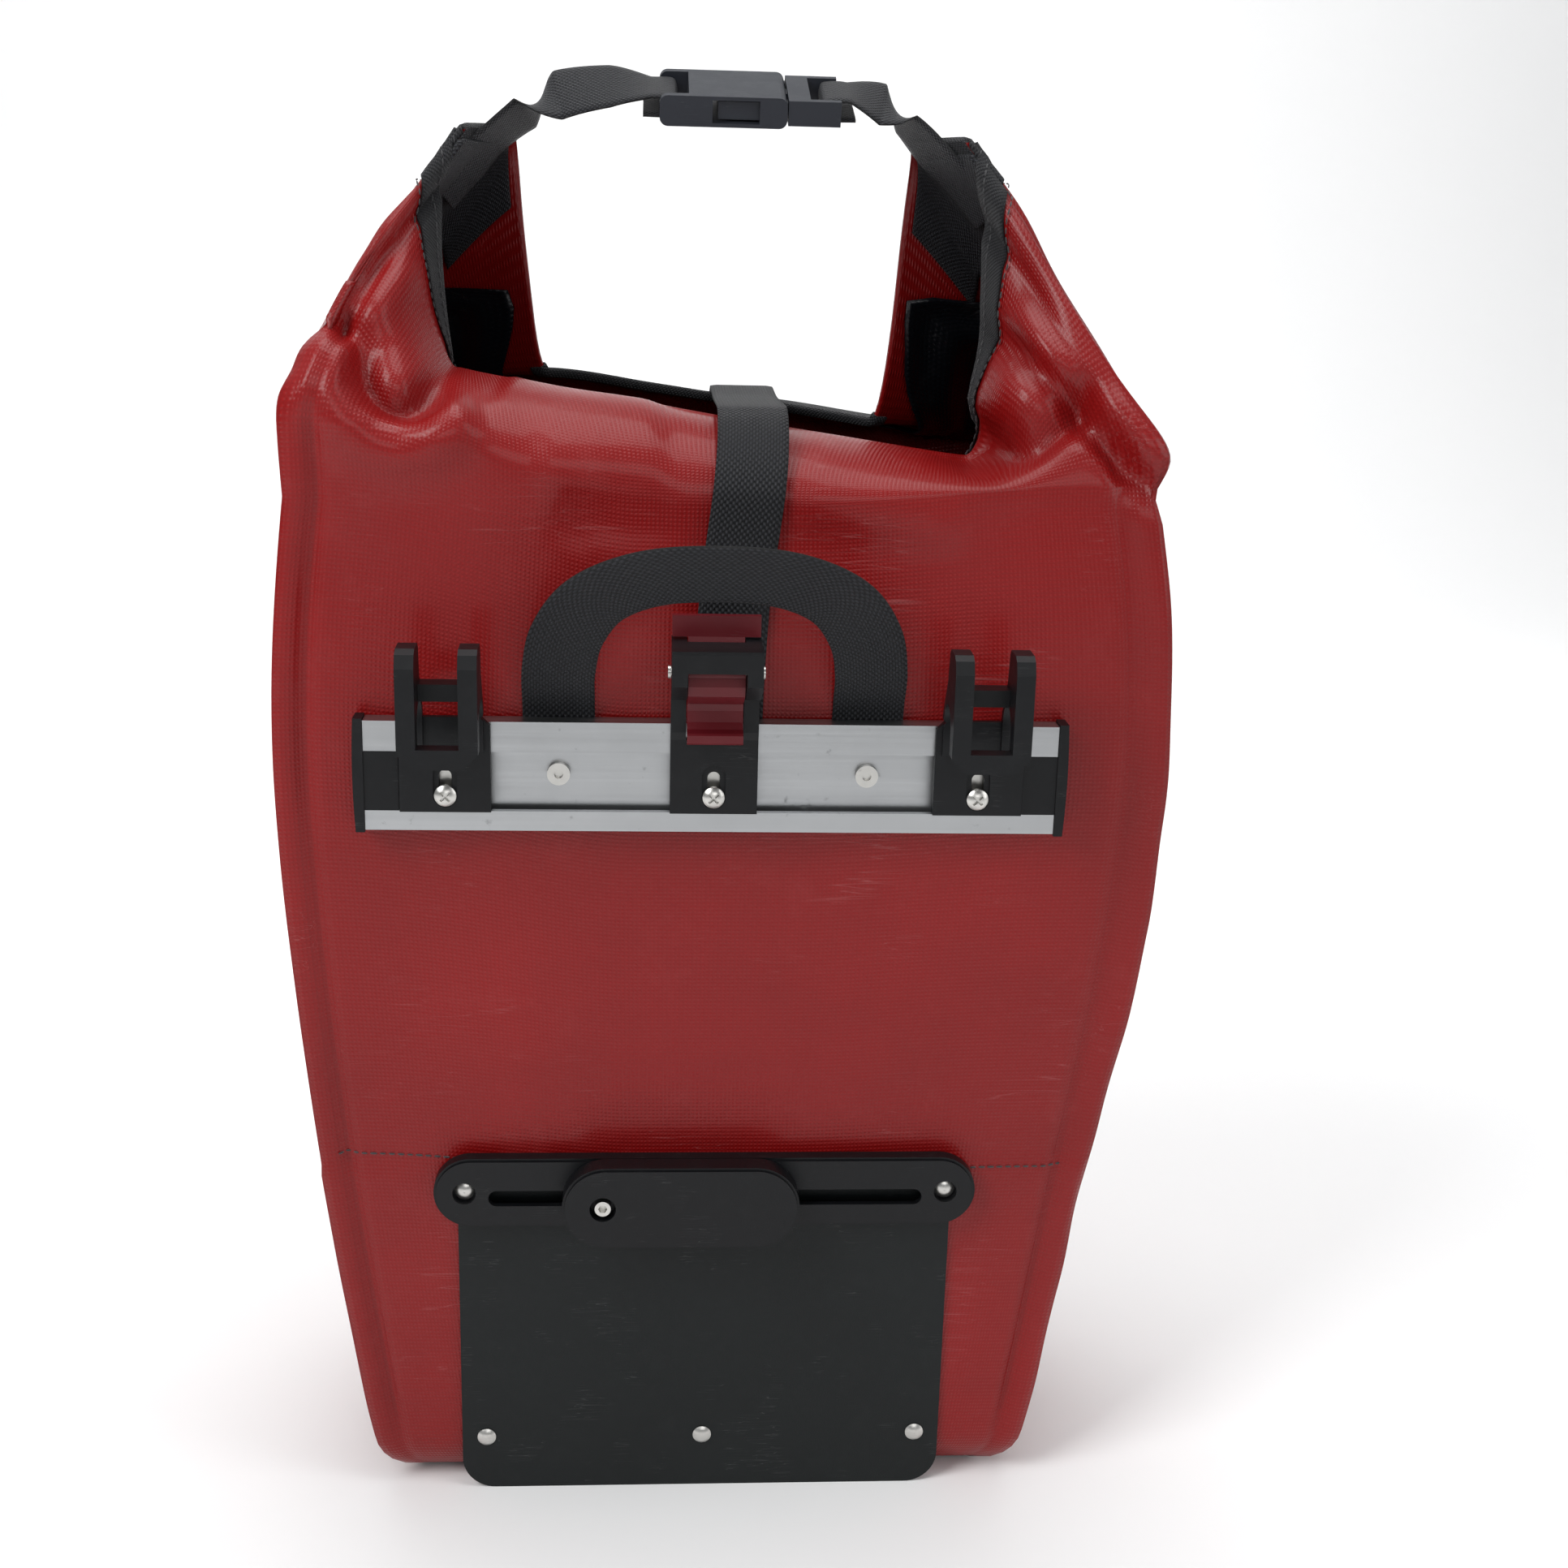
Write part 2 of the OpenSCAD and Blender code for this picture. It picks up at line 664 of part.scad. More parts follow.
// ---------- webbing ----------
handle_lean = 34;
handle_h = 81;           // from the fold at the rail's top to the crown of the arch
module leg(x, z0, z1) {
    translate([x - web_w / 2 + 0.2, face_y - fit - web_t, z0])
        cube([web_w - 0.4, web_t, z1 - z0]);
}
module arch_2d() {
    inner = bolt_x - web_w / 2;
    outer = bolt_x + web_w / 2;
    under = handle_h - 28;
    polygon([[-outer, 0], [-outer, 15], [-outer + 6, 24], [-outer + 17, 46], [-outer + 31, handle_h - 8],
        [-outer + 48, handle_h - 2], [0, handle_h], [outer - 48, handle_h - 2], [outer - 31, handle_h - 8],
        [outer - 17, 46], [outer - 6, 24], [outer, 15], [outer, 0],
        [inner, 0], [inner, under - 10], [inner - 4.5, under - 3], [20, under - 0.5], [0, under],
        [-20, under - 0.5], [-inner + 4.5, under - 3], [-inner, under - 10], [-inner, 0]]);
}
module carry_handle() {
    fold_z = rail_top + 3;
    color("#17181b")
        difference() {
            union() {
                for (x = [-bolt_x, bolt_x])
                    leg(x, rail_z - 12, fold_z + 0.3);
                translate([0, face_y - fit, fold_z])
                    rotate([90 + handle_lean, 0, 0])
                        linear_extrude(web_t)
                            arch_2d();
            }
            for (x = [-bolt_x, bolt_x])
                y_hole(x, rail_z, shank_r + fit, face_y - 20, face_y + 20);
        }
}
// a webbing strip swept along points in the YZ plane, its width along X
function unit2(v) = v / norm(v);
function strip_normal(p, i) = let (
    a = i > 0 ? unit2(p[i] - p[i - 1]) : unit2(p[1] - p[0]),
    b = i < len(p) - 1 ? unit2(p[i + 1] - p[i]) : a,
    d = unit2(a + b))
    [-d[1], d[0]] / max(0.6, d * a);
module yz_webbing(path, w, t, x) {
    left = [for (i = [0 : len(path) - 1]) path[i] + strip_normal(path, i) * t / 2];
    right = [for (i = [len(path) - 1 : -1 : 0]) path[i] - strip_normal(path, i) * t / 2];
    x_prism(x, w)
        polygon(concat(left, right));
}
drop_top = shoulder_z - 14;              // the tension strap leaves the bag's top here
clip_top = drop_top - 44;
clip_z = clip_top - 17;                  // mouth of the hanging socket
drop_y = road_y + socket_t / 2 + 0.5;
strap_x = 9;             // the compression strap lies a little right of the middle
strap_off = web_t / 2 + run + 0.4;       // the webbing's middle stands this far off the bag
// a quarter of an ellipse over the closing top, from the shoulder y, z to the rim
function over(y0, y1, z1, a) = [y1 + (y0 - y1) * (1 + strap_off / abs(y0 - y1)) * cos(a),
    shoulder_z + (z1 - shoulder_z + strap_off) * sin(a)];
rack_rim_y = rim_y - rim_half;
road_rim_y = rim_y + rim_half;
road_shoulder_y = back_y(shoulder_z);
strap_route = concat([[face_y - fit - web_t / 2, rail_z - 12], [face_y - fit - web_t / 2, rail_top + 6]],
    [for (a = [0 : 15 : 90]) over(face_y, rack_rim_y, mouth_z, a)],
    [for (a = [90 : -15 : 0]) over(road_shoulder_y, road_rim_y, mouth_z - road_dip, a)],
    [[back_y(drop_top) + strap_off, drop_top]]);
module compression_strap() {
    color("#17181b")
        yz_webbing(strap_route, web_w, web_t, strap_x);
}
module compression_strap_drop() {
    color("#17181b")
        yz_webbing([[back_y(drop_top) + strap_off, drop_top - fit], [drop_y, clip_top + 12]],
            web_w, web_t, strap_x);
}
// the socket and plug lie with their length along X, mouth at x = 0, the plug on the +X side
socket_wall = 2;
throat_w = socket_w - 2 * socket_wall;
throat_t = socket_t - 2 * socket_wall;
prong_t = 4;
bar_t = 4.4;             // the bar that the webbing goes round
module socket_shape() {
    difference() {
        translate([-socket_l, 0, 0])
            intersection() {
                translate([0, -socket_w / 2, -socket_t / 2])
                    cube([socket_l, socket_w, socket_t]);
                translate([socket_l / 2, 0, 0])
                    rotate([90, 0, 0])
                        linear_extrude(socket_w, center = true)
                            offset(r = 3)
                                square([socket_l - 6, socket_t - 6], center = true);
            }
        translate([-socket_l + 13, -throat_w / 2, -throat_t / 2])
            cube([socket_l, throat_w, throat_t]);
        // side windows where the prongs are squeezed
        translate([-27, -socket_w, -throat_t / 2 - 0.6])
            cube([17, 2 * socket_w, throat_t + 1.2]);
        // the webbing slot, and the room round its bar
        translate([-socket_l + 4, -web_w / 2 - 0.8, -socket_t])
            cube([6.5, web_w + 1.6, 2 * socket_t]);
        for (z = [bar_t / 2, -bar_t / 2 - socket_t])
            translate([-socket_l - 1, -web_w / 2 - 0.8, z])
                cube([8, web_w + 1.6, socket_t]);
    }
}
module plug_shape() {
    tray = throat_t - 2 * run;
    translate([0.4, -socket_w / 2 + 0.5, -socket_t / 2 + 1])
        difference() {
            cube([19, socket_w - 1, socket_t - 2]);
            translate([8, (socket_w - 1 - web_w - 1.6) / 2, -1])
                cube([6.5, web_w + 1.6, socket_t]);
            for (z = [(socket_t - 2 + bar_t) / 2, (socket_t - 2 - bar_t) / 2 - socket_t])
                translate([10, (socket_w - 1 - web_w - 1.6) / 2, z])
                    cube([12, web_w + 1.6, socket_t]);
        }
    // the guide in the middle of the throat
    translate([-24, -3, -tray / 2])
        cube([24.6, 6, tray]);
}
module prong_shape(side) {
    translate([0, side * (throat_w / 2 - run - prong_t / 2), 0])
        translate([-25, -prong_t / 2, -throat_t / 2 + run])
            cube([25.2, prong_t, throat_t - 2 * run]);
}
buckle_z = peak_z + 12;
buckle_lean = 18;        // the loop over the mouth leans towards the rack
module buckle_frame() {
    translate([buckle_x, rim_y, buckle_z])
        rotate([buckle_lean, 0, 0])
            children();
}
module buckle_socket() {
    color("#33363b")
        buckle_frame()
            socket_shape();
}
module buckle_plug() {
    color("#33363b")
        buckle_frame()
            plug_shape();
}
module buckle_prong_rack() {
    color("#33363b")
        buckle_frame()
            prong_shape(-1);
}
module buckle_prong_road() {
    color("#33363b")
        buckle_frame()
            prong_shape(1);
}
// top straps: from the end patches up and across to the buckle's bars, their width along Y
module xz_webbing(path, w, t) {
    left = [for (i = [0 : len(path) - 1]) path[i] + strip_normal(path, i) * t / 2];
    right = [for (i = [len(path) - 1 : -1 : 0]) path[i] - strip_normal(path, i) * t / 2];
    translate([0, rim_y, buckle_z])
        rotate([90 + buckle_lean, 0, 0])
            linear_extrude(w, center = true)
                polygon(concat(left, right));
}
socket_bar_x = buckle_x - socket_l + 2;        // middle of each buckle's webbing bar
plug_bar_x = buckle_x + 0.4 + 16.75;
loop_z = bar_t / 2 + run + web_t / 2;    // the webbing lies this far either side of a bar
strap_end_x = patch_x - patch_w / 2 * sin(32) - web_t - 2 * run;
strap_end_z = peak_z + 2 - buckle_z;
module top_strap_left() {
    color("#1b1d22")
        xz_webbing([[-strap_end_x, strap_end_z], [-strap_end_x + 2, -6], [-strap_end_x + 11, -1],
            [socket_bar_x - 9, loop_z], [socket_bar_x + 3.4, loop_z],
            [socket_bar_x + 3.4, -loop_z], [socket_bar_x - 7, -loop_z]], web_w - 1, web_t);
}
module top_strap_right() {
    color("#1b1d22")
        xz_webbing([[plug_bar_x + 7, -loop_z], [plug_bar_x - 3.4, -loop_z],
            [plug_bar_x - 3.4, loop_z], [plug_bar_x + 9, loop_z],
            [strap_end_x - 10, -1], [strap_end_x - 2, -6], [strap_end_x, strap_end_z]],
            web_w - 1, web_t);
}
module clip_frame() {
    translate([strap_x, drop_y, clip_z])
        rotate([0, -90, 90])
            children();
}
module compression_plug() {
    color("#1d1e21")
        clip_frame()
            plug_shape();
}
module compression_prong_left() {
    color("#1d1e21")
        clip_frame()
            prong_shape(1);
}
module compression_prong_right() {
    color("#1d1e21")
        clip_frame()
            prong_shape(-1);
}
module compression_socket() {
    color("#1d1e21")
        clip_frame()
            socket_shape();
}
module compression_strap_loop() {
    bar_z = clip_z + 0.4 + 16.75;
    color("#17181b")
        yz_webbing([[drop_y - 0.2, clip_top + 11], [drop_y - loop_z, bar_z + 5], [drop_y - loop_z, bar_z - 3.4],
            [drop_y + loop_z, bar_z - 3.4], [drop_y + loop_z, bar_z + 9]], web_w, web_t, strap_x);
}
module compression_strap_lower() {
    bar_z = clip_z - socket_l + 2;
    low = bar_z - 44;
    color("#17181b")
        yz_webbing([[drop_y + loop_z, bar_z - 12], [drop_y + loop_z, bar_z + 3.4],
            [drop_y - loop_z, bar_z + 3.4], [drop_y - loop_z, bar_z - 3],
            [back_y(low + 26) + strap_off, low + 24], [back_y(low) + strap_off, low]],
            web_w, web_t, strap_x);
}

// ---------- track strip and lower arm ----------
strip_back = plate_y - fit;
strip_front = strip_back - strip_t;
arm_x = -38.9;
arm_bolt_in = 15.2;      // bolt's distance from the arm's end
module stadium(l, h, x, z, y0, y1) {
    translate([x - (l - h) / 2, y0, z - h / 2])
        cube([l - h, y1 - y0, h]);
    for (s = [-1, 1])
        y_hole(x + s * (l - h) / 2, z, h / 2, y0, y1);
}
module track_strip() {
    color("#1d1e20")
        difference() {
            union() {
                stadium(strip_l, strip_h, 0, strip_z, strip_front + 1, strip_back);
                stadium(strip_l - 2, strip_h - 2, 0, strip_z, strip_front, strip_front + 1.5);
            }
            stadium(slot_l, slot_w, 0, strip_z - 2, strip_front - 1, strip_back + 1);
            stadium(slot_l + 8, slot_w + 6, 0, strip_z - 2, strip_back - 3.4, strip_back + 1);
            for (x = [-rivet_gap / 2, rivet_gap / 2]) {
                y_hole(x, strip_z, 4.4, strip_front - 1, strip_front + 3);
                y_hole(x, strip_z, rivet_r + fit, strip_front - 1, strip_back + 1);
            }
        }
}
arm_back = strip_front - run;
arm_front = arm_back - arm_t;
arm_z = strip_z - 2;
module lower_arm() {
    color("#17181a")
        difference() {
            union() {
                stadium(arm_l, arm_h, arm_x - arm_bolt_in + arm_l / 2, arm_z, arm_front + 1, arm_back);
                stadium(arm_l - 2, arm_h - 2, arm_x - arm_bolt_in + arm_l / 2, arm_z,
                    arm_front, arm_front + 1.5);
            }
            y_hole(arm_x, arm_z, 4.9, arm_front - 1, arm_front + 5);
            y_hole(arm_x, arm_z, 2.55, arm_front - 1, arm_back + 1);
        }
}
module arm_bolt() {
    color("#c4c7ca")
        difference() {
            union() {
                y_hole(arm_x, arm_z, 2.5, arm_front + 2, strip_back - 0.4);
                y_hole(arm_x, arm_z, 3, arm_front + 0.6, arm_front + 5 - run);
            }
            translate([arm_x, arm_front + 2.8, arm_z])
                rotate([90, 0, 0])
                    cylinder(r = 1.75, h = 4, $fn = 6);
        }
}
module arm_nut() {
    color("#9fa2a6")
        difference() {
            translate([arm_x - 6, strip_back - 3.4 + run, arm_z - (slot_w + 6) / 2 + run])
                cube([12, 2.8, slot_w + 6 - 2 * run]);
            y_hole(arm_x, arm_z, 2.6, strip_back - 5, strip_back + 2);
        }
}
module rivet(x, z, y) {
    translate([x, y, z])
        rotate([90, 0, 0])
            intersection() {
                cylinder(r = 3.6, h = 1.6);
                translate([0, 0, -4.2])
                    sphere(r = 5.8, $fn = 48);
            }
    y_hole(x, z, rivet_r, y - 0.5, board_back + 1.6);
}
module strip_rivets() {
    color("#cfcfc8")
        for (x = [-rivet_gap / 2, rivet_gap / 2])
            rivet(x, strip_z, strip_front + 3 - fit);
}
module plate_rivets() {
    color("#cfcfc8")
        for (x = [-plate_rivet_x, 0, plate_rivet_x])
            rivet(x, plate_rivet_z, plate_y - fit);
}
module rivet_washers() {
    places = concat([for (x = [-rivet_gap / 2, rivet_gap / 2]) [x, strip_z]],
        [for (x = [-plate_rivet_x, 0, plate_rivet_x]) [x, plate_rivet_z]]);
    color("#cfcfc8")
        for (p = places)
            difference() {
                y_hole(p[0], p[1], 4, board_back + fit, board_back + 1.3);
                y_hole(p[0], p[1], rivet_r + 0.1, board_back - 1, board_back + 3);
            }
}

rack_panel();
side_panel_left();
side_panel_right();
road_panel();
base_panel();
stiffener_board();
mouth_end_left();
mouth_end_right();
rim_binding();
rim_binding_left();
rim_binding_right();
end_patch_left();
end_patch_right();
rail();
rail_end_cap_left();
rail_end_cap_right();
rail_bolts();
rail_nuts();
hook_left();
hook_right();
hook_screw_left();
hook_screw_right();
hook_nut_left();
hook_nut_right();
catch_housing();
catch_lever();
catch_pin();
catch_spring();
catch_screw();
catch_nut();
carry_handle();
compression_strap();
compression_strap_drop();
compression_plug();
compression_prong_left();
compression_prong_right();
compression_strap_loop();
compression_socket();
compression_strap_lower();
top_strap_left();
top_strap_right();
buckle_socket();
buckle_plug();
buckle_prong_rack();
buckle_prong_road();
track_strip();
lower_arm();
arm_bolt();
arm_nut();
scuff_plate();
strip_rivets();
plate_rivets();
rivet_washers();
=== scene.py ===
import math

import bmesh
import bpy
import numpy as np
from bpy.props import FloatProperty, FloatVectorProperty, IntProperty, PointerProperty
from bpy.types import Operator, Panel, PropertyGroup
from mathutils import Matrix, Vector, noise


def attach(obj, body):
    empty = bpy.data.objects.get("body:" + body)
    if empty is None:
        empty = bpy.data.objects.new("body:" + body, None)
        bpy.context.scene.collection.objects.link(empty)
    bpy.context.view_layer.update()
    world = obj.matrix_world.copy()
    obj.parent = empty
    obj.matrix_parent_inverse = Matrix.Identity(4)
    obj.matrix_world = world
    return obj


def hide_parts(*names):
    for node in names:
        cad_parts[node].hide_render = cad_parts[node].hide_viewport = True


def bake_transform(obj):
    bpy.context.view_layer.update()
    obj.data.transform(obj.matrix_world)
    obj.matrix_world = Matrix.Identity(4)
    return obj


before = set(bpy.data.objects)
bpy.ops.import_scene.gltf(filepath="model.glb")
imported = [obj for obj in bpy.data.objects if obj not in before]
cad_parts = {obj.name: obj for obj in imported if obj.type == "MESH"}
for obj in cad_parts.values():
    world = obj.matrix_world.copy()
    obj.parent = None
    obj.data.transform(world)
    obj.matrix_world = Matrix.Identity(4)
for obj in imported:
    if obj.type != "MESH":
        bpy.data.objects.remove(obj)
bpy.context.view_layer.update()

bl_info = {
    "name": "Pannier bag",
    "version": (1, 0, 0),
    "blender": (4, 5, 0),
    "location": "View3D > Sidebar > Pannier",
    "description": "Fabric shell, webbing, stitches and finishes of a roll-top pannier bag",
    "category": "Object",
}

MM = 0.001


# ---------------------------------------------------------------- settings
class PannierShape(PropertyGroup):
    width: FloatProperty(name="Bag width", description="Width at the rail", default=0.310, unit="LENGTH")
    depth: FloatProperty(name="Bag depth", description="Depth at the rail", default=0.165, unit="LENGTH")
    shoulder: FloatProperty(name="Shoulder height", description="Where the mouth begins to close",
                            default=0.392, unit="LENGTH")
    crease: FloatProperty(name="Crease depth", description="Depth of the folds on the shoulders",
                          default=0.006, unit="LENGTH")
    webbing_width: FloatProperty(name="Webbing width", description="Width of all the webbing",
                                 default=0.025, unit="LENGTH")
    stitch_length: FloatProperty(name="Stitch length", description="Length of one stitch",
                                 default=0.0026, unit="LENGTH")
    stitch_pitch: FloatProperty(name="Stitch pitch", description="Distance from stitch to stitch",
                                default=0.0034, unit="LENGTH")
    seed: IntProperty(name="Seed", description="Seed of everything irregular", default=7, min=0)


class PannierColours(PropertyGroup):
    tarpaulin: FloatVectorProperty(name="Tarpaulin", description="Coated fabric", subtype="COLOR", size=3,
                                   default=(0.245, 0.0050, 0.0052), min=0, max=1)
    webbing: FloatVectorProperty(name="Webbing", description="Straps and bindings", subtype="COLOR", size=3,
                                 default=(0.0045, 0.0050, 0.0070), min=0, max=1)
    lever: FloatVectorProperty(name="Lever", description="Catch lever", subtype="COLOR", size=3,
                               default=(0.105, 0.006, 0.010), min=0, max=1)
    buckle: FloatVectorProperty(name="Buckle", description="Top buckle", subtype="COLOR", size=3,
                                default=(0.022, 0.025, 0.033), min=0, max=1)
    plastic: FloatVectorProperty(name="Plastic", description="Hooks, strip and arm", subtype="COLOR", size=3,
                                 default=(0.0036, 0.0040, 0.0050), min=0, max=1)


# ---------------------------------------------------------------- node helpers
class Tree:
    """Small helper that adds and links shader nodes."""

    def __init__(self, name):
        self.mat = bpy.data.materials.new(name)
        self.mat.use_nodes = True
        self.t = self.mat.node_tree
        self.t.nodes.clear()
        self.out = self.t.nodes.new("ShaderNodeOutputMaterial")
        self.bsdf = self.t.nodes.new("ShaderNodeBsdfPrincipled")
        self.t.links.new(self.bsdf.outputs[0], self.out.inputs[0])

    def node(self, kind, **values):
        n = self.t.nodes.new(kind)
        for key, value in values.items():
            if hasattr(n, key):
                setattr(n, key, value)
            else:
                n.inputs[key.replace("_", " ")].default_value = value
        return n

    def link(self, a, b):
        self.t.links.new(a, b)

    def set(self, **values):
        for key, value in values.items():
            self.bsdf.inputs[key.replace("_", " ")].default_value = value

    def math(self, op, a, b=None, c=None, clamp=False):
        n = self.t.nodes.new("ShaderNodeMath")
        n.operation = op
        n.use_clamp = clamp
        for i, value in enumerate((a, b, c)):
            if value is None:
                continue
            if isinstance(value, (int, float)):
                n.inputs[i].default_value = value
            else:
                self.link(value, n.inputs[i])
        return n.outputs[0]

    def where(self, uv=None):
        if uv:
            return self.node("ShaderNodeUVMap", uv_map=uv).outputs[0]
        return self.node("ShaderNodeTexCoord").outputs["Object"]

    def noise(self, vec, scale, detail=3, rough=0.5, stretch=None, distortion=0.0):
        if stretch:
            m = self.node("ShaderNodeMapping")
            m.inputs["Scale"].default_value = stretch
            self.link(vec, m.inputs[0])
            vec = m.outputs[0]
        n = self.node("ShaderNodeTexNoise")
        n.inputs["Scale"].default_value = scale
        n.inputs["Detail"].default_value = detail
        n.inputs["Roughness"].default_value = rough
        n.inputs["Distortion"].default_value = distortion
        self.link(vec, n.inputs["Vector"])
        return n.outputs[0]

    def ramp(self, fac, stops):
        n = self.node("ShaderNodeValToRGB")
        els = n.color_ramp.elements
        while len(els) < len(stops):
            els.new(0.5)
        for el, (pos, value) in zip(els, stops):
            el.position = pos
            el.color = (value, value, value, 1) if isinstance(value, (int, float)) else (*value, 1)
        self.link(fac, n.inputs[0])
        return n.outputs[0]

    def mix(self, fac, a, b, mode="MIX"):
        n = self.node("ShaderNodeMix")
        n.data_type = "RGBA"
        n.blend_type = mode
        for socket, value in ((n.inputs[0], fac), (n.inputs[6], a), (n.inputs[7], b)):
            if isinstance(value, (int, float)):
                socket.default_value = value
            elif isinstance(value, tuple):
                socket.default_value = (*value, 1)
            else:
                self.link(value, socket)
        return n.outputs[2]

    def colour(self, value):
        self.link(value, self.bsdf.inputs["Base Color"])

    def rough(self, value):
        self.link(value, self.bsdf.inputs["Roughness"])

    def bump(self, layers):
        normal = None
        for height, distance, strength in layers:
            n = self.node("ShaderNodeBump")
            n.inputs["Distance"].default_value = distance
            n.inputs["Strength"].default_value = strength
            self.link(height, n.inputs["Height"])
            if normal:
                self.link(normal, n.inputs["Normal"])
            normal = n.outputs[0]
        self.link(normal, self.bsdf.inputs["Normal"])


def shade(colour, k):
    """The colour made darker or lighter."""
    return tuple(min(1.0, c * k) for c in colour)


def scratches(t, vec, scale, angle, width):
    """Thin straight marks: a very stretched noise cut to its narrow top."""
    m = t.node("ShaderNodeMapping")
    m.inputs["Rotation"].default_value = (angle, angle * 1.7, angle)
    m.inputs["Scale"].default_value = (1, 26, 26)
    t.link(vec, m.inputs[0])
    n = t.noise(m.outputs[0], scale, 2, 0.4)
    line = t.ramp(n, [(0.0, 0), (0.5 - width, 0), (0.5, 1), (0.5 + width, 0), (1, 0)])
    mask = t.noise(vec, scale * 1.7, 2, 0.5)
    return t.math("MULTIPLY", line, t.ramp(mask, [(0.0, 0), (0.56, 0), (0.66, 1), (1, 1)]))


SCRIM_PITCH = 0.00155


def tarpaulin(name, colour, lining=False):
    """PVC coated scrim: a woven grid under a glossy skin, with scuffs and fine scratches."""
    t = Tree(name)
    obj = t.where()
    uv = t.where("Cloth")
    sep = t.node("ShaderNodeSeparateXYZ")
    t.link(uv, sep.inputs[0])
    turns = 2 * math.pi / SCRIM_PITCH
    warp = t.math("SINE", t.math("MULTIPLY", sep.outputs[0], turns))
    weft = t.math("SINE", t.math("MULTIPLY", sep.outputs[1], turns))
    weave = t.math("MULTIPLY", t.math("ADD", t.math("MULTIPLY", warp, weft), t.math("ADD", warp, weft)), 0.33)
    large = t.noise(obj, 9, 4, 0.55)
    fine = t.noise(obj, 160, 4, 0.6)
    grain = t.noise(obj, 900, 2, 0.5)
    crinkle = t.noise(obj, 34, 5, 0.6, (1, 1, 1.6), 0.8)
    long_marks = scratches(t, obj, 11, 0.5, 0.012)
    short_marks = scratches(t, obj, 17, -0.9, 0.008)
    scuff = t.ramp(t.noise(obj, 26, 8, 0.7), [(0.0, 0), (0.56, 0), (0.74, 1), (1, 1)])
    base = t.mix(t.ramp(large, [(0.25, 0), (0.75, 1)]), shade(colour, 0.80), shade(colour, 1.15))
    base = t.mix(t.math("MULTIPLY", t.ramp(weave, [(0.0, 1), (0.55, 0)]), 0.28), base, shade(colour, 0.6))
    base = t.mix(t.math("MULTIPLY", scuff, 0.11), base, tuple(min(1, c * 1.2 + 0.07) for c in colour))
    marks = t.math("MAXIMUM", long_marks, t.math("MULTIPLY", short_marks, 0.7))
    base = t.mix(t.math("MULTIPLY", marks, 0.30), base, tuple(min(1, c + 0.13) for c in colour))
    t.colour(base)
    rough = t.math("MULTIPLY_ADD", fine, 0.18, 0.20 if lining else 0.27)
    rough = t.math("ADD", rough, t.math("MULTIPLY", scuff, 0.12))
    t.rough(t.math("ADD", rough, t.math("MULTIPLY", marks, 0.2)))
    t.set(Specular_IOR_Level=0.24, Coat_Weight=0.20, Coat_Roughness=0.18)
    t.bump([(weave, 0.00016, 0.8), (crinkle, 0.0011, 0.32), (fine, 0.00018, 0.35), (grain, 0.00003, 0.4),
            (marks, 0.00008, 0.6)])
    return t.mat


def webbing_cloth(name, colour, pitch=0.0021, shine=0.5):
    """Woven webbing: slanting picks across the width in rows along the length, with a plain selvedge, a
    painted highlight on the picks and painted shade between them.
    """
    t = Tree(name)
    obj = t.where()
    uv = t.where("Cloth")
    sep = t.node("ShaderNodeSeparateXYZ")
    t.link(uv, sep.inputs[0])
    turns = 2 * math.pi / pitch
    rib = t.math("SINE", t.math("MULTIPLY", sep.outputs[0], turns))
    shift = t.math("MULTIPLY", t.math("SIGN", rib), 1.57)
    row = t.math("SINE", t.math("ADD", t.math("MULTIPLY", sep.outputs[1], turns * 0.92), shift))
    weave = t.math("MULTIPLY", t.math("POWER", t.math("ABSOLUTE", rib), 0.6),
                   t.math("MULTIPLY_ADD", row, 0.5, 0.5))
    fuzz = t.noise(obj, 1400, 3, 0.6)
    wear = t.noise(obj, 42, 5, 0.65)
    dust = t.ramp(wear, [(0.4, 0), (0.78, 1)])
    # painted highlight: the tops of the picks turn far lighter than the webbing's colour, and the hollows
    # between them take painted shade at a fifth of it
    light = tuple(c * 4.0 + 0.022 for c in colour)
    base = t.mix(t.math("MULTIPLY", weave, 0.75), shade(colour, 0.2), light)
    base = t.mix(t.math("MULTIPLY", dust, 0.14), base, (0.03, 0.03, 0.033))
    base = t.mix(t.math("MULTIPLY", fuzz, 0.35), base, shade(colour, 1.6))
    t.colour(base)
    t.rough(t.math("MULTIPLY_ADD", fuzz, 0.25, 0.62 - 0.25 * shine))
    t.set(Sheen_Weight=0.06, Sheen_Roughness=0.4, Specular_IOR_Level=0.3)
    t.bump([(weave, 0.00050, 1.0), (fuzz, 0.00005, 0.5)])
    return t.mat


def moulded(name, colour, rough=0.45, grain=1.0, coat=0.0, wear=0.3):
    """Injection-moulded plastic: fine spark texture, faint flow shading, light scratches and dust."""
    t = Tree(name)
    obj = t.where()
    fine = t.noise(obj, 1500, 3, 0.55)
    mid = t.noise(obj, 130, 4, 0.6)
    big = t.noise(obj, 22, 3, 0.5)
    marks = scratches(t, obj, 40, 0.8, 0.010)
    base = t.mix(big, shade(colour, 0.82), shade(colour, 1.25))
    base = t.mix(t.math("MULTIPLY", marks, wear), base, tuple(c + 0.10 for c in colour))
    dust = t.ramp(mid, [(0.5, 0), (0.8, 1)])
    base = t.mix(t.math("MULTIPLY", dust, 0.12 * wear / 0.3), base, tuple(c * 1.5 + 0.02 for c in colour))
    t.colour(base)
    t.rough(t.math("MULTIPLY_ADD", mid, 0.20, rough - 0.08))
    t.set(Specular_IOR_Level=0.28, Coat_Weight=coat, Coat_Roughness=0.2)
    t.bump([(fine, 0.00006 * grain, 0.6), (mid, 0.00010, 0.25), (marks, 0.00005, 0.5)])
    return t.mat


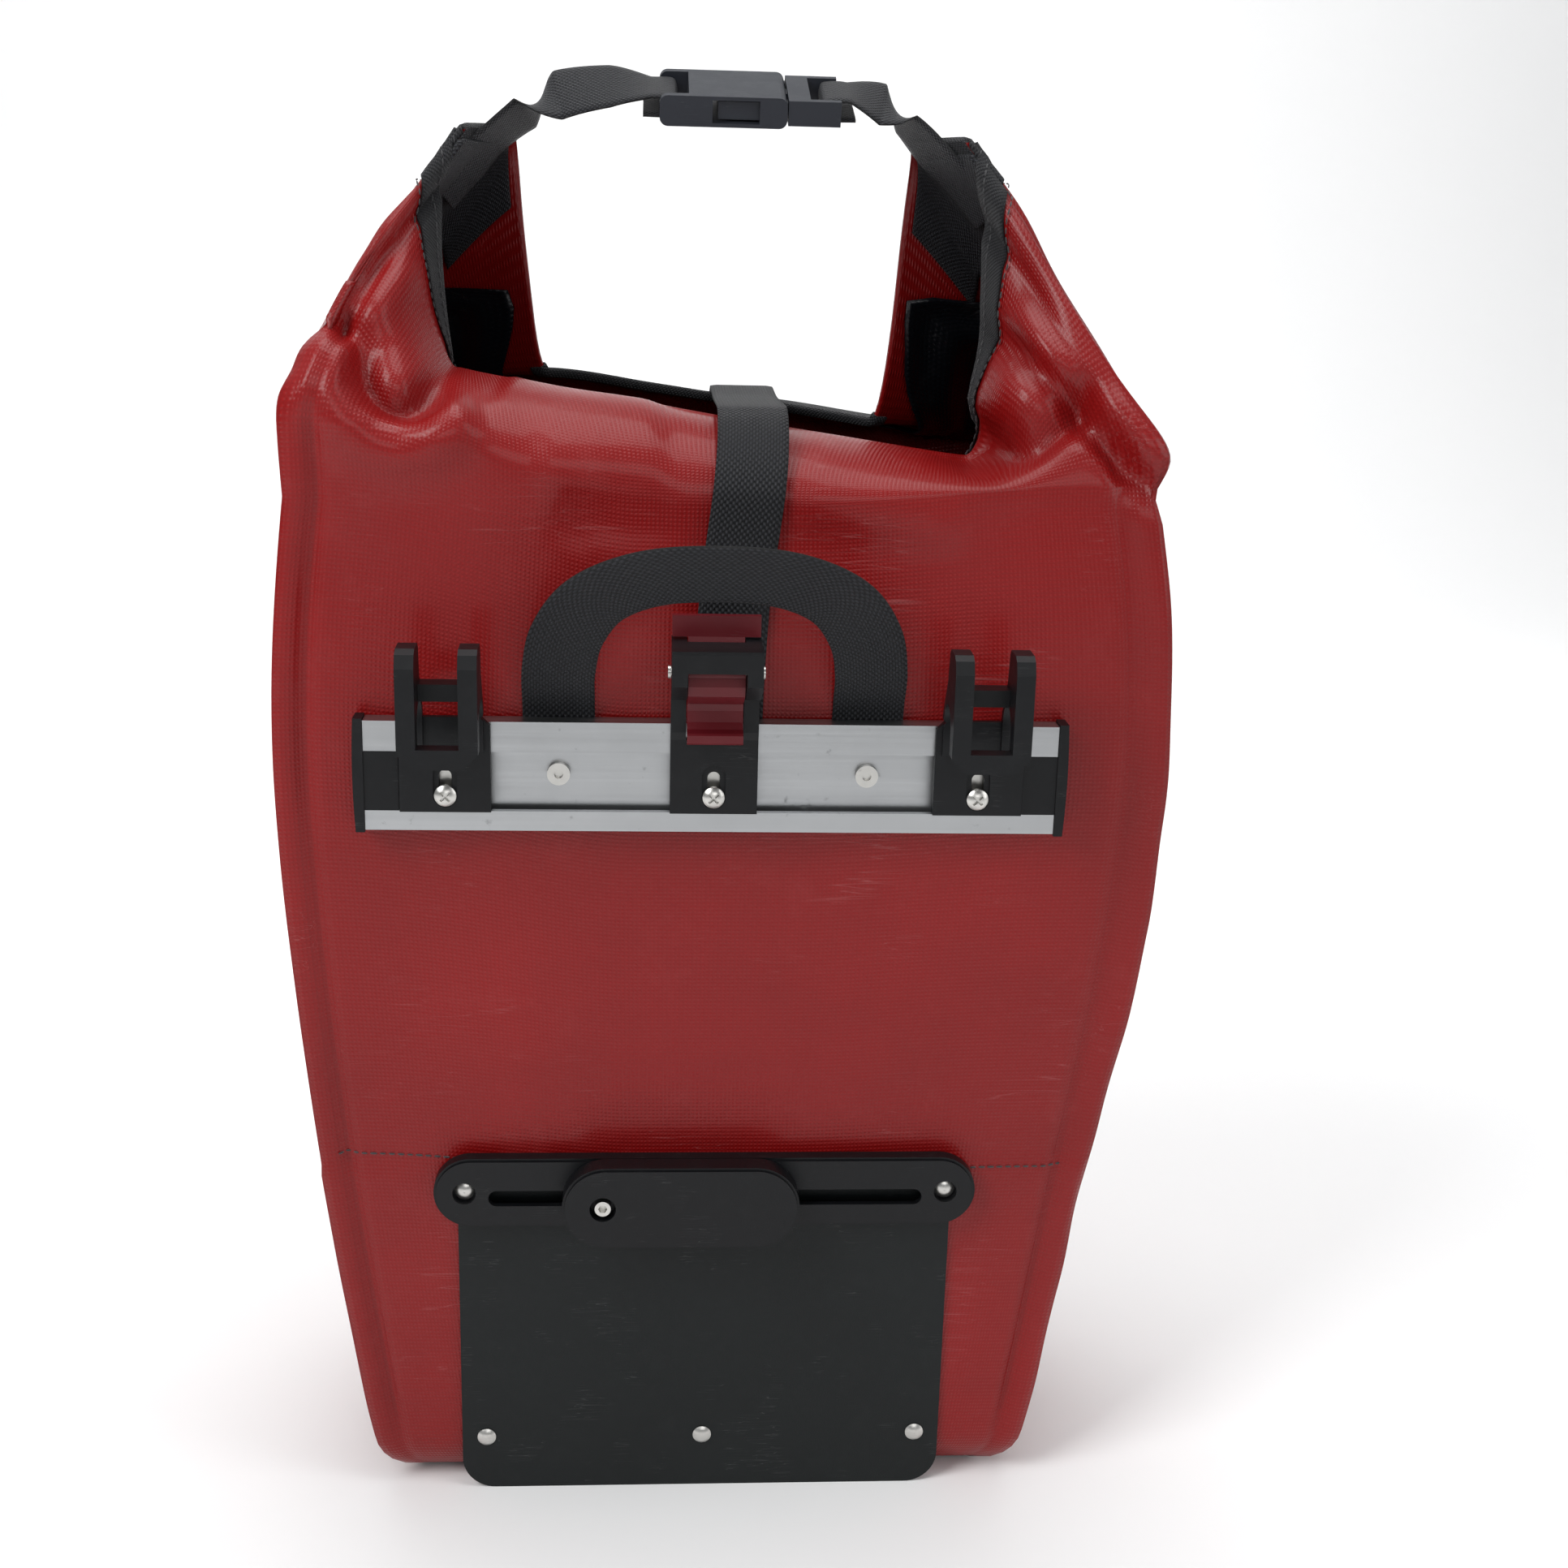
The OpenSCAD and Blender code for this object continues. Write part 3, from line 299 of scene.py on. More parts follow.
def metal(name, colour, rough, stretch, line=0.5, aniso=0.4):
    """Drawn or turned metal: fine parallel lines, light oxide patches and a few nicks."""
    t = Tree(name)
    obj = t.where()
    lines = t.noise(obj, 1, 3, 0.6, stretch)
    cloud = t.noise(obj, 38, 5, 0.6)
    nick = t.ramp(t.noise(obj, 210, 3, 0.6), [(0.66, 0), (0.74, 1)])
    base = t.mix(cloud, shade(colour, 0.86), shade(colour, 1.06))
    base = t.mix(t.math("MULTIPLY", lines, 0.35), base, shade(colour, 0.72))
    base = t.mix(t.math("MULTIPLY", nick, 0.35), base, shade(colour, 0.45))
    t.colour(base)
    t.rough(t.math("ADD", t.math("MULTIPLY_ADD", lines, 0.16, rough - 0.06), t.math("MULTIPLY", nick, 0.2)))
    t.set(Metallic=1.0, Anisotropic=aniso)
    t.bump([(lines, 0.00004, line), (nick, 0.00006, -0.4)])
    return t.mat


def thread(name, colour):
    """Twisted sewing thread."""
    t = Tree(name)
    obj = t.where()
    twist = t.noise(obj, 2600, 2, 0.5, (1, 1, 0.35))
    t.colour(t.mix(twist, shade(colour, 0.6), shade(colour, 1.5)))
    t.rough(t.math("MULTIPLY_ADD", twist, 0.2, 0.5))
    t.set(Sheen_Weight=0.3)
    t.bump([(twist, 0.0001, 0.7)])
    return t.mat


MATS = {}


def materials():
    c = bpy.context.scene.pannier_colours
    red, black = tuple(c.tarpaulin), tuple(c.webbing)
    MATS["red"] = tarpaulin("red_tarpaulin", red)
    MATS["red_inside"] = tarpaulin("red_tarpaulin_inside", shade(red, 0.85), True)
    MATS["lining"] = tarpaulin("black_lining", (0.004, 0.005, 0.007), True)
    MATS["webbing"] = webbing_cloth("black_webbing", black)
    MATS["binding"] = webbing_cloth("black_binding", shade(black, 0.9), 0.0013, 0.8)
    MATS["seat"] = webbing_cloth("strap_webbing", shade(black, 1.3), 0.0017, 0.9)
    MATS["thread"] = thread("black_thread", (0.016, 0.016, 0.018))
    MATS["plastic"] = moulded("black_plastic", tuple(c.plastic), 0.42)
    MATS["plate"] = moulded("plate_plastic", (0.0050, 0.0068, 0.0072), 0.50, 1.8, wear=0.35)
    MATS["buckle"] = moulded("buckle_plastic", tuple(c.buckle), 0.46, 1.2)
    MATS["lever"] = moulded("red_plastic", tuple(c.lever), 0.36, 0.8, 0.1, 0.2)
    MATS["rail"] = metal("drawn_aluminium", (0.47, 0.48, 0.49), 0.30, (5, 420, 420), 0.9)
    MATS["zinc"] = metal("zinc_steel", (0.66, 0.65, 0.62), 0.30, (240, 240, 240), 0.2, 0.1)
    MATS["spring"] = metal("spring_steel", (0.42, 0.43, 0.45), 0.28, (300, 40, 300), 0.2, 0.2)


# ---------------------------------------------------------------- mesh helpers
def make(name, verts, faces, mat, uvs=None):
    """A mesh object from points in millimetres; uvs are one pair per point, in metres."""
    me = bpy.data.meshes.new(name)
    me.from_pydata([(x * MM, y * MM, z * MM) for x, y, z in verts], [], faces)
    me.materials.append(mat)
    me.polygons.foreach_set("use_smooth", [True] * len(me.polygons))
    if uvs is not None:
        layer = me.uv_layers.new(name="Cloth")
        flat = np.array(uvs, float)[[l.vertex_index for l in me.loops]]
        layer.data.foreach_set("uv", flat.ravel())
    me.update()
    ob = bpy.data.objects.new(name, me)
    bpy.context.scene.collection.objects.link(ob)
    return ob


def outward(ob):
    """Turns every face outwards."""
    bm = bmesh.new()
    bm.from_mesh(ob.data)
    bmesh.ops.recalc_face_normals(bm, faces=bm.faces)
    bm.to_mesh(ob.data)
    bm.free()


def finish_mods(ob):
    """Turns the object's modifiers into plain mesh."""
    deps = bpy.context.evaluated_depsgraph_get()
    done = ob.evaluated_get(deps)
    me = bpy.data.meshes.new_from_object(done, preserve_all_data_layers=True, depsgraph=deps)
    ob.modifiers.clear()
    old = ob.data
    ob.data = me
    me.name = ob.name
    bpy.data.meshes.remove(old)


def spline(points, n):
    """n evenly spaced points on a smooth line, its length, and how far along it the given points lie."""
    steps = 24
    p = [Vector(q) for q in points]
    p = [p[0] * 2 - p[1]] + p + [p[-1] * 2 - p[-2]]
    fine = []
    for i in range(1, len(p) - 2):
        for j in range(steps):
            t = j / steps
            a, b, c, d = p[i - 1], p[i], p[i + 1], p[i + 2]
            fine.append(0.5 * ((2 * b) + (c - a) * t + (2 * a - 5 * b + 4 * c - d) * t * t
                               + (3 * b - a - 3 * c + d) * t ** 3))
    fine.append(p[-2])
    length = [0.0]
    for i in range(1, len(fine)):
        length.append(length[-1] + (fine[i] - fine[i - 1]).length)
    out, k = [], 0
    for i in range(n):
        want = length[-1] * i / (n - 1)
        while k < len(fine) - 2 and length[k + 1] < want:
            k += 1
        span = max(length[k + 1] - length[k], 1e-9)
        out.append(fine[k].lerp(fine[k + 1], min(1, (want - length[k]) / span)))
    return out, length[-1], length[::steps]


EDGE_SHARE = 0.55   # thickness of webbing at its selvedge
BACK_SHIFT = 80     # cloth coordinates of webbing's back start this far over


def ribbon(name, points, across, mat, width, thick, n, m, cup=0.0):
    """Flat webbing along a line; across gives the width direction at each given point.

    n and m are the steps along it and over its width, and cup is how far its middle rises.
    """
    path, length, marks = spline(points, n)
    if len(across) == 1:
        across = across * len(points)
    dirs = []
    for i in range(n):
        at = length * i / (n - 1)
        k = max(j for j in range(len(marks) - 1) if marks[j] <= at + 1e-6)
        f = (at - marks[k]) / max(marks[k + 1] - marks[k], 1e-9)
        dirs.append(Vector(across[k]).lerp(Vector(across[k + 1]), min(1, f)))
    upper = [(width * (j / m - 0.5), thick / 2 * (1 if 0 < j < m else EDGE_SHARE)) for j in range(m + 1)]
    ring = upper + [(x, -y) for x, y in reversed(upper)]
    verts, uvs = [], []
    for i in range(n):
        tan = (path[min(i + 1, n - 1)] - path[max(i - 1, 0)]).normalized()
        w = (dirs[i] - tan * dirs[i].dot(tan)).normalized()
        nor = tan.cross(w)
        s = length * i / (n - 1)
        for x, y in ring:
            lift = cup * (1 - (2 * x / width) ** 2)
            verts.append(path[i] + w * x + nor * (y + lift))
            uvs.append(((x + (BACK_SHIFT if y < 0 else 0)) * MM, s * MM))
    k = len(ring)
    faces = [(i * k + j, i * k + (j + 1) % k, (i + 1) * k + (j + 1) % k, (i + 1) * k + j)
             for i in range(n - 1) for j in range(k)]
    faces.append(tuple(range(k - 1, -1, -1)))
    faces.append(tuple((n - 1) * k + j for j in range(k)))
    ob = make(name, verts, faces, mat, uvs)
    outward(ob)
    ob.data.polygons[-1].use_smooth = False
    ob.data.polygons[-2].use_smooth = False
    return ob


# ---------------------------------------------------------------- the bag's surface, in millimetres
FACE_Y = -80.0                  # plane of the rack side
FLOOR_Z = 1.9                   # underside of the cloth
WALL = 1.6                      # thickness of the cloth
RAIL_Z = 296.0                  # height where the bag is widest
FLOOR_TUCK = 22.0               # radius that leads from the sides into the floor
FLOOR_IN, FLOOR_FORWARD = 32, 15    # how far each side and the road side draw in down to the floor
SHOULDER_IN = 8                 # how far they draw in from the rail up to the shoulder
LEFT_RISE, RIGHT_RISE = 26, 8   # how much higher the shoulder is at its two ends
RACK_SPAN, SIDE_SPAN = 300, 90  # rough widths of the rack side and of a side panel, for the welds
CREASE = 6.0                    # crease depth that the depths of the folds below are meant for
RIM_Y, RIM_HALF = 2.0, 46.0     # the mouth's middle, and half its depth
RIM_Z, HORN_Z = 417.5, 516.0    # height of the mouth's edge in the middle and at its ends
FOLD_FROM, FOLD_DROP = 0.80, 17.0   # share of the top where the front edge turns in, and how far it goes down
LINING_TOP = 457.0              # upper edge of the black lining
FLOOR_RISE = 0.6                # how far the floor's middle is above its edge
BINDING_ROWS = 8                # rows of the shell that the bindings cover outside
STITCHED_ROWS = (8, 2)          # rows of the shell, down from the mouth's edge, that carry stitches
LINING_ROWS, PATCH_ROWS = 13, 35    # rows above the shoulder where the lining and the patches start
PANEL_SEAM = 140.0              # height where the rack side's lower panel ends
SQUARE = 0.42                   # exponent that squares the section's corners
SIDE_PUFF = 8.0                 # how far the sides stand out
SPLIT, SECTION = 25.0, 38.0     # degrees that each side panel takes of the mouth and of the section
SIDE_COUNT = (52, 76, 52, 130)  # columns of the right side, the road side, the left side and the rack side
LOW_ROWS, TOP_ROWS = 96, 56     # rows below and above the shoulder

# folds on the shoulders: start, end (x, z), half width, depth
FOLDS_FRONT = (
    ((-150, 430), (-116, 474), 6.0, 5.0),
    ((-88, 448), (-70, 438), 6.0, -3.0),
    ((154, 398), (104, 448), 5.0, 8.0),
    ((-60, 405), (-20, 412), 14.0, -2.5),
    ((30, 392), (84, 384), 12.0, -2.0),
)
# curved folds under the drawn-up corners: points (x, z), half width, depth, height of the ridge beside
POCKETS = (
    (((-133, 456), (-122, 443), (-120, 431), (-112, 423), (-102, 424), (-93, 433)), 5.4, 8.5, 0.6),
    (((132, 440), (122, 424), (110, 414), (94, 411), (78, 419)), 6.0, 7.5, 0.5),
)


def smooth(a, b, x):
    """0 up to a, 1 from b on, and a soft step between them."""
    t = min(1.0, max(0.0, (x - a) / (b - a)))
    return t * t * (3 - 2 * t)


def bag_size():
    """Width, depth and height of the shoulder, in millimetres."""
    s = bpy.context.scene.pannier_shape
    return s.width / MM, s.depth / MM, s.shoulder / MM


def half_width(z):
    """Half the bag's width at a height: widest at the rail, narrower at the floor and at the shoulder."""
    width, _, shoulder = bag_size()
    if z < RAIL_Z:
        return width / 2 - FLOOR_IN * ((RAIL_Z - z) / RAIL_Z) ** 1.6
    return width / 2 - SHOULDER_IN * ((z - RAIL_Z) / (shoulder - RAIL_Z)) ** 2


def back_y(z):
    """Where the road side is at a height."""
    _, depth, shoulder = bag_size()
    road = FACE_Y + depth
    if z < RAIL_Z:
        return road - FLOOR_FORWARD * ((RAIL_Z - z) / RAIL_Z) ** 2
    return road - SHOULDER_IN * ((z - RAIL_Z) / (shoulder - RAIL_Z)) ** 2


def tuck(z):
    """How far the sides have drawn in towards the floor at a height."""
    away = max(FLOOR_TUCK - z, 0.0)
    return FLOOR_TUCK - math.sqrt(FLOOR_TUCK ** 2 - away ** 2)


def hull_xy(a, z):
    """A point of the section at a height; a goes in degrees from the right by the road side to the left."""
    level = min(z, bag_size()[2])
    f = max(math.sin(math.radians(a)), 0.0) ** SQUARE
    c = math.cos(math.radians(a))
    y0 = FACE_Y + tuck(z)
    y1 = back_y(level) - tuck(z)
    x = math.copysign(abs(c) ** SQUARE, c) * (half_width(level) - tuck(z))
    return x + math.copysign(1, c) * SIDE_PUFF * math.sin(math.pi * f), y0 + (y1 - y0) * f


def side_angle(v):
    """The angle of the section at share v of a side panel, so that the columns lie evenly."""
    return math.degrees(math.asin(min(1.0, (math.sin(math.radians(SECTION)) ** SQUARE * v) ** (1 / SQUARE))))


def side_xy(k, v, z):
    """A point at share v of side k: 0 right, 1 road side, 2 left, 3 rack side."""
    if k == 0:
        return hull_xy(side_angle(v), z)
    if k == 1:
        return hull_xy(SECTION + (180 - 2 * SECTION) * v, z)
    if k == 2:
        return hull_xy(180 - side_angle(1 - v), z)
    return (2 * v - 1) * (half_width(min(z, bag_size()[2])) - tuck(z)), FACE_Y + tuck(z)


def side_r(k, v):
    """The angle round the mouth, in degrees, at share v of side k."""
    return (-SPLIT + 2 * SPLIT * v, SPLIT + (180 - 2 * SPLIT) * v, 180 - SPLIT + 2 * SPLIT * v,
            180 + SPLIT + (180 - 2 * SPLIT) * v)[k]


def rim(r):
    """The mouth's edge: low in the middle, drawn up to a squared horn at each end."""
    c, s = math.cos(math.radians(r)), math.sin(math.radians(r))
    x = c * (82 + 64 * s * s - 29 * s)  # fuller than an ellipse between the ends, which squares the corners
    low = RIM_Z - 1.5 * s - (0.13 - 0.025 * min(s, 0)) * x
    lift = smooth(0.66, 0.965, abs(c)) ** 1.15
    return Vector((x, RIM_Y + RIM_HALF * s, low + (HORN_Z - low) * lift))


def fold_share(r):
    """1 where the front edge is folded inwards, 0 where it stands up."""
    return 1 - smooth(40, 56, abs(r - 270))


def shell_point(k, v, level):
    """A point of side k at share v; level is 0 at the floor, 1 at the shoulder, 2 at the mouth's edge."""
    r = side_r(k, v)
    c = math.cos(math.radians(r))
    left = smooth(-0.2, -0.9, c) if c < 0 else 0.0
    right = smooth(0.2, 0.9, c) if c > 0 else 0.0
    top = bag_size()[2] + LEFT_RISE * left + RIGHT_RISE * right
    if level <= 1:
        z = FLOOR_Z + (top - FLOOR_Z) * level
        return Vector((*side_xy(k, v, z), z))
    x, y = side_xy(k, v, top)
    edge = rim(r)

    def towards_edge(inwards, upwards):
        return Vector((x + (edge.x - x) * inwards, y + (edge.y - y) * inwards,
                       top + (edge.z - top) * upwards))

    t = level - 1
    end = smooth(0.45, 0.93, abs(c))
    out = towards_edge((1 - math.cos(math.pi / 2 * t)) * (1 - end) + t ** 1.42 * end,
                       math.sin(math.pi / 2 * t) * (1 - end) + t ** 0.97 * end)
    f = fold_share(r)
    if f > 0:
        bend = math.pi / 2 * min(1.0, t / FOLD_FROM)
        p = towards_edge(1 - math.cos(bend), math.sin(bend))
        if t > FOLD_FROM:
            a = (t - FOLD_FROM) / (1 - FOLD_FROM)
            p.y += 5.0 * smooth(0, 0.4, a)
            p.z -= FOLD_DROP * a ** 1.4
        out = out.lerp(p, f)
    return out


def curved_fold(p, line, width, depth, ridge):
    """Depth of a fold along a curved line of (x, z) points, with a soft ridge to its right."""
    best, side, share = 1e9, 1, 0.0
    for i in range(len(line) - 1):
        a, b = line[i], line[i + 1]
        t = min(1.0, max(0.0, (Vector((p.x, p.z)) - a).dot(b - a) / (b - a).length_squared))
        off = Vector((p.x, p.z)) - (a + (b - a) * t)
        if off.length < best:
            best = off.length
            side = (b - a).x * off.y - (b - a).y * off.x
            share = (i + t) / (len(line) - 1)
    fade = smooth(0, 0.15, share) * (1 - smooth(0.85, 1, share))
    swell = math.exp(-((best - 2.4 * width) / (1.6 * width)) ** 2) if side < 0 else 0.0
    return fade * depth * (ridge * swell - math.exp(-(best / width) ** 2))


def crease_line(p, a, b, width, depth, ridge=0.6):
    """Depth of a straight fold that runs from a to b, (x, z) each, with a soft ridge to its right."""
    ax, az, bx, bz = *a, *b
    dx, dz = bx - ax, bz - az
    square = dx * dx + dz * dz
    t = ((p.x - ax) * dx + (p.z - az) * dz) / square
    dist = ((p.x - ax) * dz - (p.z - az) * dx) / math.sqrt(square)
    fade = smooth(-0.15, 0.12, t) * (1 - smooth(0.88, 1.15, t))
    swell = math.exp(-((dist - 1.6 * width) / (1.3 * width)) ** 2)
    return fade * depth * (ridge * swell - math.exp(-(dist / width) ** 2))


def weld(k, v, z):
    """The welded edge that runs up each front corner: a raised lap with a sunk line beside it."""
    if k == 3:
        away = min(v, 1 - v) * RACK_SPAN
        lap, line = math.exp(-((away - 1) / 4.5) ** 2), math.exp(-((away - 10) / 2.2) ** 2)
        return (1.6 * lap - 2.8 * line) * smooth(0, 40, z)
    if k in (0, 2):
        away = (v if k == 0 else 1 - v) * SIDE_SPAN
        return 1.5 * math.exp(-(away / 3.0) ** 2) - 1.6 * math.exp(-((away - 8) / 3.0) ** 2)
    return 0.0


def shell_grid():
    """The shell's columns, as side and share of it, and its rows, as levels."""
    cols = [(k, i / n) for k, n in enumerate(SIDE_COUNT) for i in range(n)]
    rows = [i / LOW_ROWS for i in range(LOW_ROWS)] + [1 + i / TOP_ROWS for i in range(TOP_ROWS + 1)]
    return cols, rows


def unit(vectors):
    """The same directions, each one long."""
    return vectors / np.maximum(np.linalg.norm(vectors, axis=2, keepdims=True), 1e-9)


def normals(part):
    """Outward directions of an open grid."""
    return unit(np.cross(np.gradient(part, axis=1), np.gradient(part, axis=0)))


def closed_normals(base):
    """Outward directions of a grid whose rows are rings."""
    rise = np.empty_like(base)
    rise[1:-1] = base[2:] - base[:-2]
    rise[0], rise[-1] = base[1] - base[0], base[-1] - base[-2]
    return unit(np.cross(np.roll(base, -1, 1) - np.roll(base, 1, 1), rise))


def right_bulge(base):
    """How far the right side swells outwards from the lower half up to the shoulder."""
    wide = np.clip((base[:, :, 0] - 118) / 36, 0, 1)
    tall = np.array([[smooth(70, 240, z) * (1 - smooth(430, 500, z)) for z in row] for row in base[:, :, 2]])
    return 9.5 * wide * wide * (3 - 2 * wide) * tall


def shoulder_folds(p, q, depth, curves):
    """Folds and drape near the mouth; p is the point and q its place in the noise."""
    near_top = smooth(378, 410, p.z)
    if near_top == 0:
        return 0.0
    front = smooth(10, -50, p.y)
    folds = sum(crease_line(p, a, b, width, deep * depth / CREASE) for a, b, width, deep in FOLDS_FRONT)
    if abs(p.x) > 50 and front > 0.05:
        folds += sum(curved_fold(p, *curve) for curve in curves)
    drape = math.sin(p.x * 0.13 + 2.2 * noise.noise(q * 1.7)) * smooth(55, 110, abs(p.x))
    return folds * front + 0.9 * near_top * drape * (1 - 0.5 * front)


def shell_points():
    """The whole shell as an array rows x columns, with its folds and sags."""
    shape = bpy.context.scene.pannier_shape
    depth = shape.crease / MM
    start = Vector((shape.seed * 13.7, 0, 0))
    cols, rows = shell_grid()
    base = np.array([[shell_point(k, v, level) for k, v in cols] for level in rows])
    nor = closed_normals(base)
    base[:, :, 0] += right_bulge(base)
    curves = [([Vector((q[0], q[2])) for q in spline([(x, 0, z) for x, z in points], 14)[0]], *rest)
              for points, *rest in POCKETS]
    for i, level in enumerate(rows):
        for j, (k, v) in enumerate(cols):
            p = Vector(base[i, j])
            q = p * 0.011 + start
            limp = 1.0 if k != 3 else 0.15 + 0.85 * smooth(345, 395, p.z)
            sag = (noise.noise(q) * 2.6 + noise.noise(q * 2.3) * 1.3) * limp * smooth(0, 60, p.z)
            lift = sag + shoulder_folds(p, q, depth, curves)
            if k == 3:
                lift += 0.9 * smooth(PANEL_SEAM + 1, PANEL_SEAM - 1, p.z)
            lift += weld(k, v, p.z)
            if level > 1.8 and fold_share(side_r(k, v)) > 0.5:
                lift *= 0.2
            base[i, j] += nor[i, j] * lift
    return base


def wall(ob, thick, offset, inner=None):
    """Gives a sheet its thickness, with another material on the inside where one is named."""
    s = ob.modifiers.new("wall", "SOLIDIFY")
    s.thickness = thick * MM
    s.offset = offset
    s.use_even_offset = False
    if inner:
        ob.data.materials.append(inner)
        s.material_offset = 1
    finish_mods(ob)


def grid_object(name, pts, uv, mat, wrap, thick, offset=-1.0, inner=None):
    """A sheet from rows x columns of points; wrap joins the last column to the first."""
    m, n = pts.shape[:2]
    cells = [(i, j) for i in range(m - 1) for j in range(n if wrap else n - 1)]
    faces = [(i * n + j, i * n + (j + 1) % n, (i + 1) * n + (j + 1) % n, (i + 1) * n + j) for i, j in cells]
    ob = make(name, pts.reshape(-1, 3).tolist(), faces, mat)
    layer = ob.data.uv_layers.new(name="Cloth")
    data = [uv[at] for i, j in cells for at in ((i, j), (i, j + 1), (i + 1, j + 1), (i + 1, j))]
    layer.data.foreach_set("uv", np.array(data).ravel())
    wall(ob, thick, offset, inner)
    return ob


def running(steps):
    """Distance from the start after each step, in metres."""
    return np.concatenate([[0], np.cumsum(steps)]) * MM


def cloth_coordinates(pts, ring=None):
    """Cloth coordinates of a grid, in metres: along its rows, or round one closed ring of it, and up them."""
    rise = np.linalg.norm(np.diff(pts, axis=0), axis=2).mean(axis=1)
    if ring is None:
        step = np.linalg.norm(np.diff(pts, axis=1), axis=2).mean(axis=0)
    else:
        step = np.linalg.norm(np.roll(ring, -1, 0) - ring, axis=1)
    uv = np.empty((len(pts), len(step) + 1, 2))
    uv[:, :, 0] = running(step)[None, :]
    uv[:, :, 1] = running(rise)[:, None]
    return uv


SHELL = {}


def follow_mouth(ob):
    """Bakes the piece's placement into its mesh."""
    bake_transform(ob)


def shell():
    """The fabric of all the sides in one continuous piece."""
    pts = shell_points()
    SHELL["pts"] = pts
    uv = cloth_coordinates(pts, pts[len(pts) // 3])
    ob = grid_object("bag_shell", pts, uv, MATS["red"], wrap=True, thick=WALL, inner=MATS["red_inside"])
    follow_mouth(ob)
    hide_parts("rack_panel", "side_panel_left", "side_panel_right", "road_panel",
                "mouth_end_left", "mouth_end_right")


def bag_floor():
    """The floor, in rings that shrink from the shell's lowest row to one point."""
    ring = SHELL["pts"][0]
    n = len(ring)
    mid = ring.mean(axis=0)
    rows = [ring]
    for share in (0.985, 0.93, 0.8, 0.6, 0.35, 0.12):
        row = mid + (ring - mid) * share
        row[:, 2] = FLOOR_Z + (2.4 * (1 - share) ** 0.5 if share > 0.9 else FLOOR_RISE)
        rows.append(row)
    verts = np.array(rows).reshape(-1, 3).tolist() + [[mid[0], mid[1], FLOOR_Z + FLOOR_RISE]]
    last = (len(rows) - 1) * n
    faces = [(i * n + j, (i + 1) * n + j, (i + 1) * n + (j + 1) % n, i * n + (j + 1) % n)
             for i in range(len(rows) - 1) for j in range(n)]
    faces += [(last + j, len(verts) - 1, last + (j + 1) % n) for j in range(n)]
    floor = make("bag_floor", verts, faces, MATS["red"], [(v[0] * MM, v[1] * MM) for v in verts])
    wall(floor, WALL, -1)
    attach(floor, "bag")
    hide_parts("base_panel")


def columns(mid, low, high):
    """The shell's columns from low to high degrees round the mouth from mid, in order."""
    away = [(side_r(k, v) - mid + 180) % 360 - 180 for k, v in shell_grid()[0]]
    return sorted((j for j, a in enumerate(away) if low <= a <= high), key=lambda j: away[j])


def rim_band(name, first, cols, out, mat, within=4):
    """A folded band over the shell's rows from first on: out off its outside, and as many rows within."""
    rows = SHELL["pts"][first:, cols]
    nor = normals(rows)
    rise = np.gradient(rows, axis=0)[-1:]
    cap = rows[-1:] + rise / np.linalg.norm(rise, axis=2, keepdims=True) * 0.9
    inner = (rows - nor * (WALL + out))[-within:]
    body = np.concatenate([rows + nor * out, cap, inner[::-1]])
    uv = np.empty(body.shape[:2] + (2,))
    uv[:, :, 1] = running(np.linalg.norm(np.diff(rows[-1], axis=0), axis=1))[None, :]
    uv[:, :, 0] = running(np.linalg.norm(np.diff(body, axis=0), axis=2).mean(axis=1))[:, None]
    return grid_object(name, body, uv, mat, wrap=False, thick=0.8, offset=0)


def bindings():
    """Webbing folded over the mouth's edge, in four pieces."""
    first = LOW_ROWS + TOP_ROWS + 1 - BINDING_ROWS
    right = rim_band("binding_right", first, columns(0, -47, 14), 0.7, MATS["binding"])
    follow_mouth(right)
    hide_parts("rim_binding_right")
    left = rim_band("binding_left", first, columns(180, -14, 47), 0.7, MATS["binding"])
    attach(left, "bag")
    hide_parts("rim_binding_left")
    road = rim_band("binding_road", first, columns(90, -45, 45), 0.7, MATS["binding"])
    rack = rim_band("binding_rack", first, columns(270, -45, 45), 0.7, MATS["binding"])
    for piece in (road, rack):
        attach(piece, "bag")
    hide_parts("rim_binding")


def ride_or_follow(ob, right):
    """Pieces in the right horn get their placement baked into their mesh, those in the left one stay on the
    bag.
    """
    if right:
        follow_mouth(ob)
    else:
        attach(ob, "bag")


def lining_wall(take, steps=24):
    """Points in even steps on each given column of the shell, from near the shoulder to the lining's edge."""
    pts = SHELL["pts"]
    first = LOW_ROWS + LINING_ROWS
    out = np.empty((steps, len(take), 3))
    for c, j in enumerate(take):
        heights = pts[first:, j, 2]
        end = int(np.argmax(heights >= min(LINING_TOP, heights[-1] - 2)))
        at = first + np.linspace(0, max(end, 4), steps)
        low = at.astype(int)
        high = np.minimum(low + 1, len(pts) - 1)
        out[:, c] = pts[low, j] + (pts[high, j] - pts[low, j]) * (at - low)[:, None]
    return out


def lining():
    """The glossy black stiffener that lines the mouth, inside the horns."""
    for name, mid, low, high in (("lining_left", 180, -66, 8), ("lining_right", 0, -8, 66)):
        part = lining_wall(columns(mid, low, high))
        nor = normals(part)
        body = part - nor * (WALL + 1.2)
        for i, j in np.ndindex(*body.shape[:2]):
            q = Vector(body[i, j]) * 0.05
            body[i, j] -= nor[i, j] * (0.8 + 1.4 * abs(noise.noise(q)) + 0.6 * math.sin(i * 0.7 + j * 0.1))
        ob = grid_object(name, body, cloth_coordinates(body), MATS["lining"], wrap=False, thick=0.8)
        ride_or_follow(ob, mid == 0)


